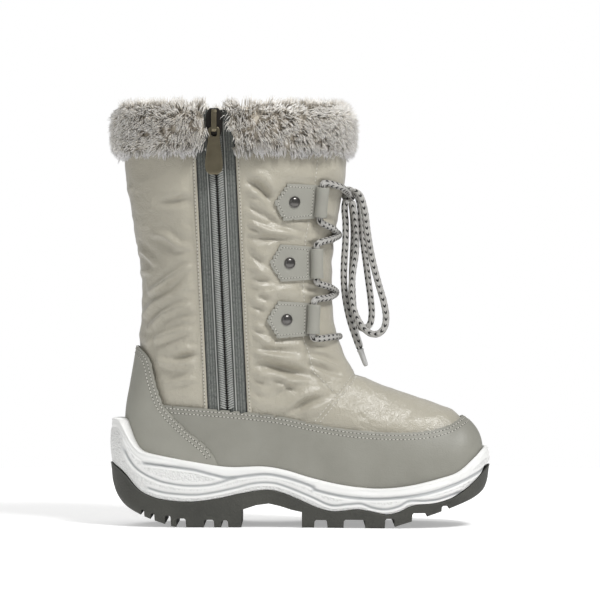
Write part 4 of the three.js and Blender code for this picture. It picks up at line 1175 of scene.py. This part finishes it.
zip_seams, seams = [], []
z = np.linspace(79, 270, 200) * MM
for sign in (-1, 1):
    row, turn = spot(zip_x(z) + sign * (TAPE_HALF + HEM_STITCH[0]), z, -1)
    zip_seams.append((off_last(row, turn, HEM_STITCH[1]), last_normal(row, turn)))
stitch_rows("zip_stitches", zip_seams, "nylon", (1.7 * MM, 0.7 * MM, 0.5 * MM), 2.5 * MM)
for side in (-1, 1):
    seams.append(on_skin(beside_line(FRONT_SEAM, 1.8), side, 140))
    for by in (-1.6, 1.6):
        seams.append(on_skin(beside_line(VAMP_SEAM, by), side, 40))
stitch_rows("seam_stitches", seams, "nylon", (2.1 * MM, 0.75 * MM, 0.55 * MM), 2.9 * MM, hole_shade=False)

# The slider and its pull: die-cast metal with a bronze finish. The slider's bridge stands over a
# dark body, and the pull, a flat drop with a raised rim, swings on the bar inside the bridge.
SLIDER_Z, HINGE_Z = 287 * MM, 282.8 * MM
SLIDER_X = float(zip_x(SLIDER_Z))
SURFACE_Y = float(on_side(SLIDER_X, SLIDER_Z, -1, 0)[0][1])
SLIDER_OUTLINE = ((-5, 278), (5, 278), (6, 284), (5.6, 293), (3, 297), (-3, 297), (-5.6, 293),
                  (-6, 284))
BRIDGE_HALF, BRIDGE_BOTTOM, BRIDGE_TOP, BRIDGE_LEG = 1.9, 280.1, 296, 1.6
PLATE_LOW, PLATE_HIGH, WINDOW, BRIDGE_HIGH = 2.3, 3.7, 6.5, 7.7
PULL_HALF = ((2.6, 0.8), (4.1, -1), (4.1, -6.5), (4.7, -12), (5.9, -21), (6.25, -26.5),
             (5.3, -30.6), (2.6, -32.8))
PULL_THICK, PULL_EYE_HALF, PULL_EYE_TOP, PULL_EYE_BOTTOM = 1.6, 2.2, -0.8, -6

bronze, tree, shader = new_material("aged_bronze", Metallic=1, Roughness=0.36)
wear = node(tree, "ShaderNodeTexNoise", {"Scale": 90, "Detail": 6, "Vector":
                                         node(tree, "ShaderNodeTexCoord").outputs["Object"]})
painted(tree, shader, mixed(tree, wear.outputs[0], shade(102, 95, 78), shade(146, 138, 117)))
gunmetal = stuff("gunmetal", shade(120, 118, 116), shade(84, 82, 80), 1200, 0.02 * MM, 0.28,
                 grain_tone=0.2, Metallic=1)
dark_metal = stuff("dark_metal", shade(62, 58, 54), shade(44, 42, 40), 1200, 0.03 * MM, 0.4,
                   Metallic=0.8)


def drawn(name, ring, vec, round_edge):
    """A flat ring of points drawn out along a vector, its edges bevelled."""
    shape = bmesh.new()
    face = shape.faces.new([shape.verts.new(p) for p in ring])
    made = bmesh.ops.extrude_face_region(shape, geom=[face])
    bmesh.ops.translate(shape, vec=vec, verts=[g for g in made["geom"]
                                               if isinstance(g, bmesh.types.BMVert)])
    bmesh.ops.recalc_face_normals(shape, faces=shape.faces)
    if round_edge:
        sharp = [e for e in shape.edges if e.calc_face_angle(0) > math.radians(35)]
        bmesh.ops.bevel(shape, geom=sharp, offset=round_edge, segments=3, profile=0.5,
                        affect="EDGES", material=-1, clamp_overlap=True)
    piece = piece_from(name, shape)
    piece.data.set_sharp_from_angle(angle=math.radians(30))
    return piece


def facing(outline, out):
    """Places of a side-view outline, in mm, a distance out from the shaft at the slider."""
    return [(SLIDER_X + x * MM, SURFACE_Y - out * MM, z * MM) for x, z in outline]


plate = drawn("slider_body", facing(SLIDER_OUTLINE, PLATE_LOW),
              (0, -(PLATE_HIGH - PLATE_LOW) * MM, 0), 0.45 * MM)
finish(plate, dark_metal, "bronze", "zip_slider")
staple = ((PLATE_HIGH - 0.3, BRIDGE_BOTTOM), (BRIDGE_HIGH - 1.4, BRIDGE_BOTTOM),
          (BRIDGE_HIGH, BRIDGE_BOTTOM + 1.6), (BRIDGE_HIGH, BRIDGE_TOP - 1.6),
          (BRIDGE_HIGH - 1.4, BRIDGE_TOP), (PLATE_HIGH - 0.3, BRIDGE_TOP),
          (PLATE_HIGH - 0.3, BRIDGE_TOP - BRIDGE_LEG), (WINDOW, BRIDGE_TOP - BRIDGE_LEG),
          (WINDOW, BRIDGE_BOTTOM + BRIDGE_LEG), (PLATE_HIGH - 0.3, BRIDGE_BOTTOM + BRIDGE_LEG))
bridge = drawn("slider_bridge", [(SLIDER_X - BRIDGE_HALF * MM, SURFACE_Y - out * MM, z * MM)
                                 for out, z in staple], (2 * BRIDGE_HALF * MM, 0, 0), 0.35 * MM)
finish(bridge, bronze, "bronze", "zip_slider")

pull_side = side_line(*PULL_HALF)[::4] / MM
pull_outline = [(x, z + HINGE_Z / MM) for x, z in pull_side]
pull_outline += [(-x, z) for x, z in pull_outline[::-1]]
pull_middle = (PLATE_HIGH + WINDOW) / 2 - 0.1
pull = drawn("pull_tab", facing(pull_outline, pull_middle - PULL_THICK / 2),
             (0, -PULL_THICK * MM, 0), 0.4 * MM)
hinge = HINGE_Z / MM
cut(pull, cutter("eye_tool", [(SLIDER_X / MM + x, hinge + z) for x, z in (
    (-PULL_EYE_HALF, PULL_EYE_TOP - 0.6), (-PULL_EYE_HALF + 0.6, PULL_EYE_TOP),
    (PULL_EYE_HALF - 0.6, PULL_EYE_TOP), (PULL_EYE_HALF, PULL_EYE_TOP - 0.6),
    (PULL_EYE_HALF, PULL_EYE_BOTTOM + 1), (PULL_EYE_HALF - 1, PULL_EYE_BOTTOM),
    (-PULL_EYE_HALF + 1, PULL_EYE_BOTTOM), (-PULL_EYE_HALF, PULL_EYE_BOTTOM + 1))],
    SURFACE_Y - 0.02, SURFACE_Y))
inner_drop = [(x * 0.74, (z - hinge + 19.6) * 0.8 - 19.6 + hinge) for x, z in pull_outline
              if z - hinge < -8.5]
cut(pull, cutter("drop_tool", [(SLIDER_X / MM + x, z) for x, z in inner_drop],
                 SURFACE_Y - 0.02, SURFACE_Y - (pull_middle + PULL_THICK / 2 - 0.35) * MM))
pull.data.materials.clear()
pull.data.set_sharp_from_angle(angle=math.radians(30))
finish(pull, bronze, "bronze", "zip_pull", body="zip_pull")

# The lace tabs: six pieces of grey leather sewn to the shaft, with a point to the rear, a rivet
# through the middle and a front edge rolled into a tunnel for the lace.
TUNNEL_BORE, TUNNEL_RADIUS, TUNNEL_HALF, TUNNEL_PAST = 3, 4.6, 9.8, 3.2
RIVET_RADIUS, RIVET_HIGH, RIVET_AHEAD = 4.1 * MM, 1.9 * MM, 14.2
TAB_OUT = OVERLAY + 0.5 * MM

tab_leather = stuff("tab_leather", shade(158, 157, 148), shade(138, 137, 129), 1100, 0.1 * MM, 0.46,
                    grain_tone=0.16, ripple=0.8)


def tunnel_ends(row, side):
    places = np.array([tab_place(row, TAB_FRONT, end * TUNNEL_HALF) for end in (-1, 1)]) * MM
    return on_side(places[:, 0], places[:, 1], side, GAP + TUNNEL_RADIUS * MM)


tab_stitches = []
for side, where in ((-1, "inner"), (1, "outer")):
    for tab in range(len(TABS)):
        label = f"{where}_{tab + 1}"
        flap = panel(f"tab_{label}", (0.6, 8), (-side * 0.06 * math.pi, -side * 0.8 * math.pi),
                     90, 120, TAB_OUT,
                     lambda p, tab=tab: beside_tab(tab, p[..., 0], p[..., 2]))
        finish(walled(flap, LEATHER), tab_leather, "leather", f"lace_tab_{label}")
        bottom, top = tunnel_ends(tab, side)
        axis = Vector(top - bottom).normalized()
        turn = np.array(axis.to_track_quat("Z", "Y").to_matrix())
        high = np.linalg.norm(top - bottom)

        def roll_place(u, v, bottom=bottom, turn=turn, high=high):
            radius = TUNNEL_RADIUS * MM * (1 + 0.03 * np.cos(v * 2 * math.pi))
            flat = np.stack([radius * np.cos(u * 2 * math.pi), radius * np.sin(u * 2 * math.pi),
                             mix(-0.8 * MM, high + 0.8 * MM, v)], -1)
            return flat @ turn.T + bottom

        roll = laid(f"tunnel_{label}", 28, 8, roll_place, join=True)
        finish(walled(roll, 1.5 * MM, 0.5 * MM), tab_leather, "leather")

        outline = [(TAB_FRONT - 4.5, -TAB_HALF + 3.6), (TAB_SHOULDER + 1, -TAB_HALF + 2.2), (2.6, 0),
                   (TAB_SHOULDER + 1, TAB_HALF - 2.2), (TAB_FRONT - 4.5, TAB_HALF - 3.6),
                   (TAB_FRONT - 4.5, -TAB_HALF + 3.6)]
        places = np.array([tab_place(tab, *c) for c in outline]) * MM
        run = run_along(places)
        at = np.linspace(0, run[-1], 70)
        row, turn_at = spot(np.interp(at, run, places[:, 0]), np.interp(at, run, places[:, 1]), side)
        tab_stitches.append((off_last(row, turn_at, TAB_OUT + 0.1 * MM), last_normal(row, turn_at)))

        # The rivet is a turned dome on a thin washer.
        x, z = (v * MM for v in tab_place(tab, RIVET_AHEAD, 0))
        row, turn_at = spot(x, z, side)
        seat, up = off_last(row, turn_at, TAB_OUT)[0], Vector(last_normal(row, turn_at)[0])
        dome = bmesh.new()
        profile = [(0, RIVET_HIGH)] + [(RIVET_RADIUS * 0.86 * math.sin(a), 0.5 * MM + (RIVET_HIGH - 0.5 * MM)
                                        * math.cos(a)) for a in (0.4, 0.8, 1.2, 1.5)]
        profile += [(RIVET_RADIUS, 0.5 * MM), (RIVET_RADIUS, 0), (0, 0)]
        ring = [dome.verts.new((r, 0, h)) for r, h in profile]
        edges = [dome.edges.new(pair) for pair in zip(ring, ring[1:])]
        bmesh.ops.spin(dome, geom=ring + edges, cent=(0, 0, 0), axis=(0, 0, 1), steps=28,
                       angle=2 * math.pi, use_merge=True)
        bmesh.ops.remove_doubles(dome, verts=dome.verts, dist=1e-5)
        bmesh.ops.recalc_face_normals(dome, faces=dome.faces)
        bmesh.ops.transform(dome, matrix=Matrix.Translation(seat) @ up.to_track_quat("Z", "Y")
                            .to_matrix().to_4x4(), verts=dome.verts)
        rivet = piece_from(f"rivet_{label}_dome", dome)
        rivet.data.set_sharp_from_angle(angle=math.radians(35))
        finish(rivet, gunmetal, "gunmetal", f"rivet_{label}")
stitch_rows("tab_stitches", tab_stitches, "leather", (1.5 * MM, 0.7 * MM, 0.5 * MM), 2.3 * MM)

# The lace: a round braided cord of light grey with dark flecks. It runs from the knot through
# the rolled tabs in crossings, and its bow hangs with two loops and two ends in hard sleeves.
LACE = 4.8 * MM
LACE_STRANDS, LACE_YARNS, LACE_SLANT, FLECK_LONG, FLECK_WIDE = 4, 5, 0.21, 0.38, 0.3
KNOT_X, KNOT_Z, KNOT_HALF = 35.2, 238, 7.5

lace_stuff, tree, shader = new_material("lace_braid", Roughness=0.85)
split = node(tree, "ShaderNodeSeparateXYZ", {0: node(tree, "ShaderNodeUVMap").outputs[0]}).outputs
strand = maths(tree, "FRACT", maths(tree, "MULTIPLY", split[0], LACE_STRANDS))
beside = maths(tree, "ABSOLUTE", maths(tree, "SUBTRACT", strand, 0.5))
slanted = maths(tree, "ADD", maths(tree, "MULTIPLY", split[1], LACE_SLANT), beside)
fleck = maths(tree, "MULTIPLY", maths(tree, "LESS_THAN", maths(tree, "FRACT", slanted), FLECK_LONG),
              maths(tree, "LESS_THAN", beside, FLECK_WIDE))
yarns = maths(tree, "SINE", maths(tree, "MULTIPLY", slanted, 2 * math.pi * LACE_YARNS))
pale = mixed(tree, maths(tree, "MULTIPLY_ADD", yarns, 0.5), shade(178, 176, 171), shade(224, 222, 217))
painted(tree, shader, mixed(tree, fleck, pale, shade(44, 43, 42)), yarns, 0.4 * MM, 0.8)
sleeve_stuff = new_material("lace_sleeve", Base_Color=shade(176, 176, 174), Roughness=0.3)[0]


def on_shin(z, degrees, clear):
    return off_last(shaft_row(z * MM), math.radians(degrees), LACE / 2 + clear * MM)


def half_lace(side, lift):
    """Half of the held lace, from the knot to the middle of the lowest bar."""
    def through(row, s):
        bottom, top = tunnel_ends(row, s)
        past = TUNNEL_PAST * MM / np.linalg.norm(top - bottom)
        return [mix(bottom, top, t) for t in (1 + past, 0.95, 0.5, 0.05, -past)]

    return [
        np.array([KNOT_X - 1, side * (KNOT_HALF + 0.6), KNOT_Z + 1]) * MM,
        on_shin(243, -side * 24, 3.4),
        *through(0, side),
        on_shin(213, -side * 20, 1.3), on_shin(209, 0, 0.7 + lift), on_shin(205.5, side * 20, 1.3),
        *through(1, -side),
        on_shin(171, side * 20, 1.3), on_shin(167, 0, 0.7 + lift), on_shin(163.5, -side * 20, 1.3),
        *through(2, side),
        on_shin(134.6, -side * 20, 1.3), on_shin(134.6, 0, 0.9),
    ]


for name, side, lift in (("lace_inner_half", -1, 0), ("lace_outer_half", 1, 1.5)):
    held, _, _ = tube(name, half_lace(side, lift), LACE / 2, cap=False)
    finish(held, lace_stuff, "lace", "lace")

# The knot is two wraps of the same cord.
turns = np.linspace(0, 2 * math.pi, 26)
wraps = (
    np.stack([KNOT_X + 2.4 * np.sin(2 * turns), 4.6 * np.cos(turns), KNOT_Z + 2.9 * np.sin(turns)], -1),
    np.stack([KNOT_X + 3.2 * np.cos(turns), 0.6 * np.sin(turns), KNOT_Z + 3.2 * np.sin(turns)], -1),
)
for n, wrap in enumerate(wraps):
    knot, _, _ = tube(f"lace_knot_wrap_{n + 1}", wrap * MM, LACE / 2, cap=False)
    finish(knot, lace_stuff, "lace", "lace_knot")

# Each free piece by its middle line, in mm: out of the knot, down and, in a loop, back.
LOOP_INNER = (
    (38, -4.4, 240.4), (43, -9.2, 237), (46.4, -13.5, 226.5), (48.3, -15.5, 212),
    (50.3, -16.5, 199), (53, -17, 186), (56.6, -17.5, 172.4), (60.3, -18, 159.5),
    (61.8, -18, 148.6), (60.3, -18, 141.4), (56, -18, 137.4), (50.8, -17.5, 137.6),
    (45.3, -17, 142), (40.4, -16, 150), (37.6, -14.5, 160), (37.2, -13.5, 170),
    (38.2, -12.5, 182), (40, -11.5, 194), (40.6, -10.5, 205), (40.2, -10.2, 215),
    (38.8, -9.8, 225), (37.4, -8, 233.4))
LOOP_OUTER = (
    (38, 4.4, 240.4), (42.4, 8.8, 235.4), (44.6, 12, 222), (46, 14.5, 205), (48, 16.5, 190),
    (50, 18, 175), (51.8, 19, 161), (52.4, 19.3, 151), (51, 19.3, 144), (46.8, 19, 140.8),
    (42.2, 18.5, 143.6), (39.6, 17.5, 152), (38.4, 16, 165), (38, 14.5, 180), (38.6, 13, 194),
    (39.2, 11.8, 208), (38.8, 10.6, 221), (37.4, 8, 233.4))
END_INNER = (
    (33.4, -3, 235), (32.4, -3.6, 228), (33, -4.8, 218), (33, -6.4, 205), (32, -7, 190),
    (31.7, -7.5, 178), (32.6, -8, 165), (35.6, -9, 149), (39.6, -9.5, 136.5), (43.6, -10, 125.5))
END_OUTER = (
    (33.4, 3, 235), (32.4, 3.6, 228), (33.2, 5.2, 218), (33.2, 7.4, 205), (32.4, 9, 190),
    (32, 10, 178), (32.6, 11, 168), (34.6, 11.8, 157), (37.4, 12.2, 147.5), (40.6, 12.6, 138.6))
AGLET_LENGTH, AGLET_WIDE, AGLET_NARROW = 13 * MM, 4.9 * MM, 3.2 * MM

for name, route in (("lace_loop_inner", LOOP_INNER), ("lace_loop_outer", LOOP_OUTER),
                    ("lace_end_inner", END_INNER), ("lace_end_outer", END_OUTER)):
    free, middle, length = tube(f"{name}_cord", np.array(route) * MM, LACE / 2)
    finish(free, lace_stuff, "lace", name)
    if "end" in name:
        # The hard sleeve at the tip, tapered, with a rolled lip where the cord goes in.
        axis = Vector(middle[-1] - middle[-2]).normalized()
        profile = ((0, 0), (AGLET_WIDE / 2, 0), (AGLET_WIDE / 2, 1.2 * MM),
                   (AGLET_WIDE / 2 - 0.3 * MM, 1.5 * MM), (AGLET_NARROW / 2 + 0.2 * MM, 11 * MM),
                   (AGLET_NARROW / 2 - 0.3 * MM, 12.8 * MM), (0, AGLET_LENGTH))
        turn = np.array(axis.to_track_quat("Z", "Y").to_matrix())

        def sleeve_place(u, v):
            radius, along = (np.interp(v * (len(profile) - 1), range(len(profile)), column_)
                             for column_ in zip(*profile))
            flat = np.stack([radius * np.cos(u * 2 * math.pi), radius * np.sin(u * 2 * math.pi),
                             along - 0.8 * MM], -1)
            return flat @ turn.T + middle[-1]

        sleeve = laid(f"{name}_sleeve", 20, 6, sleeve_place, join=True)
        finish(sleeve, sleeve_stuff, "aglet", name.replace("lace_end", "aglet"))

# The fur collar: a padded roll of long-pile fur turned over the top of the shaft and parted at
# the zip. The pile hangs in clumps, nearly white at the tips and grey-beige towards the root,
# partly its own tone and partly painted shade; the bottom of the pile carries a painted
# highlight, a cool near-white.
FUR_SECTION = np.array([(0.3, 264.5), (4.8, 264.5), (7.8, 272), (8.2, 284), (6, 295), (0.2, 302.5),
                        (-6, 303), (-12, 297), (-14, 285), (-12.5, 271), (-7, 267.5)]) * MM
FUR_MIDDLE = FUR_SECTION.mean(0)
FUR_INSET, FRONT_THIN = 0.76, 2.5 * MM
# The part's edges either side of the slider, behind it and, by height, in front of it.
PART_BEHIND, PART_HEIGHTS, PART_AHEAD = 5 * MM, (263 * MM, 275 * MM, 302 * MM), (7.5, 10.5, 5.5)
FUR_CLUMPS, FUR_IN_CLUMP, FUR_PIECES = ((4200, 10, 3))
FUR_LENGTH, CLUMP_SPREAD = 8 * MM, 1.7 * MM
SWIRL_SCALE, SWIRL, FUR_UNEVEN, COMBED_DOWN = 45, 0.6, 0.13, np.array([0, 0, -0.62])

closed = np.vstack([FUR_SECTION, FUR_SECTION[:1]])
fur_run = run_along(closed)
fur_run /= fur_run[-1]
_, (turn_ahead, turn_behind) = spot(zip_x(0.285) + np.array([5, -5]) * MM, 0.285, -1)
part_turn, turn_per_mm = (turn_ahead + turn_behind) / 2, (turn_behind - turn_ahead) / 10


def fur_point(around, share, inset):
    """A point of the collar's roll, drawn in towards its middle. share is 0 to 1 from the rear
    edge of the part, round the leg, to its front edge."""
    s = np.mod(around, 1)
    out, z = (np.interp(s, fur_run, closed[:, k]) for k in (0, 1))
    out, z = mix(FUR_MIDDLE[0], out, inset), mix(FUR_MIDDLE[1], z, inset)
    ahead = np.interp(z, PART_HEIGHTS, PART_AHEAD)
    turn = mix(part_turn + PART_BEHIND / MM * turn_per_mm,
               part_turn - ahead * turn_per_mm + 2 * math.pi, share)
    out = out - FRONT_THIN * np.clip(np.cos(turn), 0, 1) ** 2
    made = off_last(shaft_row(np.minimum(z, 0.2999)), turn, out)
    made[..., 2] = z
    return made


def fur_roll_place(u, v):
    end = np.minimum(u, 1 - u) * 44
    inset = FUR_INSET * np.sqrt(1 - (1 - np.clip(end, 0, 1)) ** 2)
    return fur_point(-v, u, inset)


fur_root = stuff("fur_backing", shade(214, 206, 193), shade(186, 178, 164), 300, 1 * MM, 1.0,
                 grain_tone=0.7)
roll = laid("fur_roll", 180, 30, fur_roll_place, join=True)
finish(roll, fur_root, "fur", "fur_collar")

fur_stuff, tree, shader = new_material("fur_pile", Roughness=0.75, Sheen_Weight=0.3,
                                       Subsurface_Weight=0.6, Subsurface_Scale=4 * MM)
shader.inputs["Subsurface Radius"].default_value = (1, 1, 1)
# Darker towards each hair's root: partly the pile's own tone, partly painted shade.
tone = mixed(tree, spotted(tree, "along"), shade(216, 207, 193), shade(248, 245, 238))
tone = mixed(tree, spotted(tree, "tone"), tone, shade(214, 204, 186))
# Whiter and faintly cool at the bottom of the pile: a painted highlight on the lower fringe.
painted(tree, shader, mixed(tree, spotted(tree, "lilac_highlight"), tone, shade(240, 239, 243)))

dice = np.random.default_rng(11)
noise.seed_set(11)
HAIR_RINGS = np.array([0, 0.55])
HAIR_RADII = np.array([0.4, 0.34]) * MM
RING_POINTS = 3
hair_points = RING_POINTS * len(HAIR_RINGS) + 1
hair_faces = [(0, 2, 1)]
for k in range(RING_POINTS):
    after = (k + 1) % RING_POINTS
    hair_faces += [(k, after, after + RING_POINTS, k + RING_POINTS),
                   (k + RING_POINTS, after + RING_POINTS, hair_points - 1)]

for piece_no in range(FUR_PIECES):
    clumps = FUR_CLUMPS // FUR_PIECES
    s = dice.random(clumps)
    share = dice.uniform(0.003, 0.997, clumps)
    root = fur_point(s, share, FUR_INSET)
    round_roll = fur_point(s + 0.01, share, FUR_INSET) - root
    round_leg = fur_point(s, share + 0.003, FUR_INSET) - root
    outward = np.cross(round_leg, round_roll)
    outward /= np.linalg.norm(outward, axis=1, keepdims=True)
    centre = fur_point(s, share, 0.2)
    outward *= np.sign(((root - centre) * outward).sum(1, keepdims=True))
    # Neighbours lie the same way, in slow swirls, and a little at random.
    swirl = np.array([noise.noise_vector(Vector(p) * SWIRL_SCALE) for p in root]) * SWIRL
    tilt = swirl + dice.normal(0, FUR_UNEVEN, (clumps, 3))
    lean = outward + tilt + COMBED_DOWN * (1 - np.abs(outward[:, 2:3]))
    lean /= np.linalg.norm(lean, axis=1, keepdims=True)
    length = FUR_LENGTH * dice.uniform(0.75, 1.15, clumps)
    tips = root + lean * length[:, None]
    # Each hair starts beside its clump's root and closes in on the clump's tip.
    hairs = clumps * FUR_IN_CLUMP
    which = np.repeat(np.arange(clumps), FUR_IN_CLUMP)
    spread = dice.normal(0, CLUMP_SPREAD, (hairs, 3))
    spread -= outward[which] * (spread * outward[which]).sum(1, keepdims=True)
    start = root[which] + spread - outward[which] * 0.6 * MM
    end = tips[which] + spread * 0.8 + dice.normal(0, 0.5 * MM, (hairs, 3))
    bow = start + outward[which] * (length[which] * 0.55)[:, None]
    beside = np.cross(end - start, dice.normal(0, 1, (hairs, 3)))
    beside /= np.linalg.norm(beside, axis=1, keepdims=True)
    across = np.cross(end - start, beside)
    across /= np.linalg.norm(across, axis=1, keepdims=True)
    points = []
    for t, radius in zip(HAIR_RINGS, HAIR_RADII):
        middle = start * (1 - t) ** 2 + bow * 2 * t * (1 - t) + end * t**2
        for k in range(RING_POINTS):
            angle = k * 2 * math.pi / RING_POINTS
            points.append(middle + (beside * math.cos(angle) + across * math.sin(angle)) * radius)
    points.append(end)
    points = np.stack(points, 1)
    starts = (np.arange(hairs) * hair_points).tolist()
    mesh = bpy.data.meshes.new(f"fur_pile_{piece_no + 1}")
    mesh.from_pydata(points.reshape(-1, 3).tolist(), [],
                     [[i + n for i in face] for n in starts for face in hair_faces])
    mesh.shade_smooth()
    # The values carry the root-to-tip tone (partly painted shade), a random tone per hair, and the painted
    # highlight of the lower fringe.
    values = {"along": np.tile(np.r_[np.repeat(HAIR_RINGS, RING_POINTS), 1] ** 1.3, hairs),
              "tone": np.repeat(np.clip(dice.normal(0.3, 0.25, hairs), 0, 0.8), hair_points),
              "lilac_highlight": (1 - smooth((points.reshape(-1, 3)[:, 2] - 262 * MM) / (8 * MM))) * 0.8}
    for label, value in values.items():
        mesh.attributes.new(label, "FLOAT", "POINT").data.foreach_set("value", value)
    pile = bpy.data.objects.new(f"fur_pile_{piece_no + 1}", mesh)
    bpy.context.collection.objects.link(pile)
    finish(pile, fur_stuff, "fur")
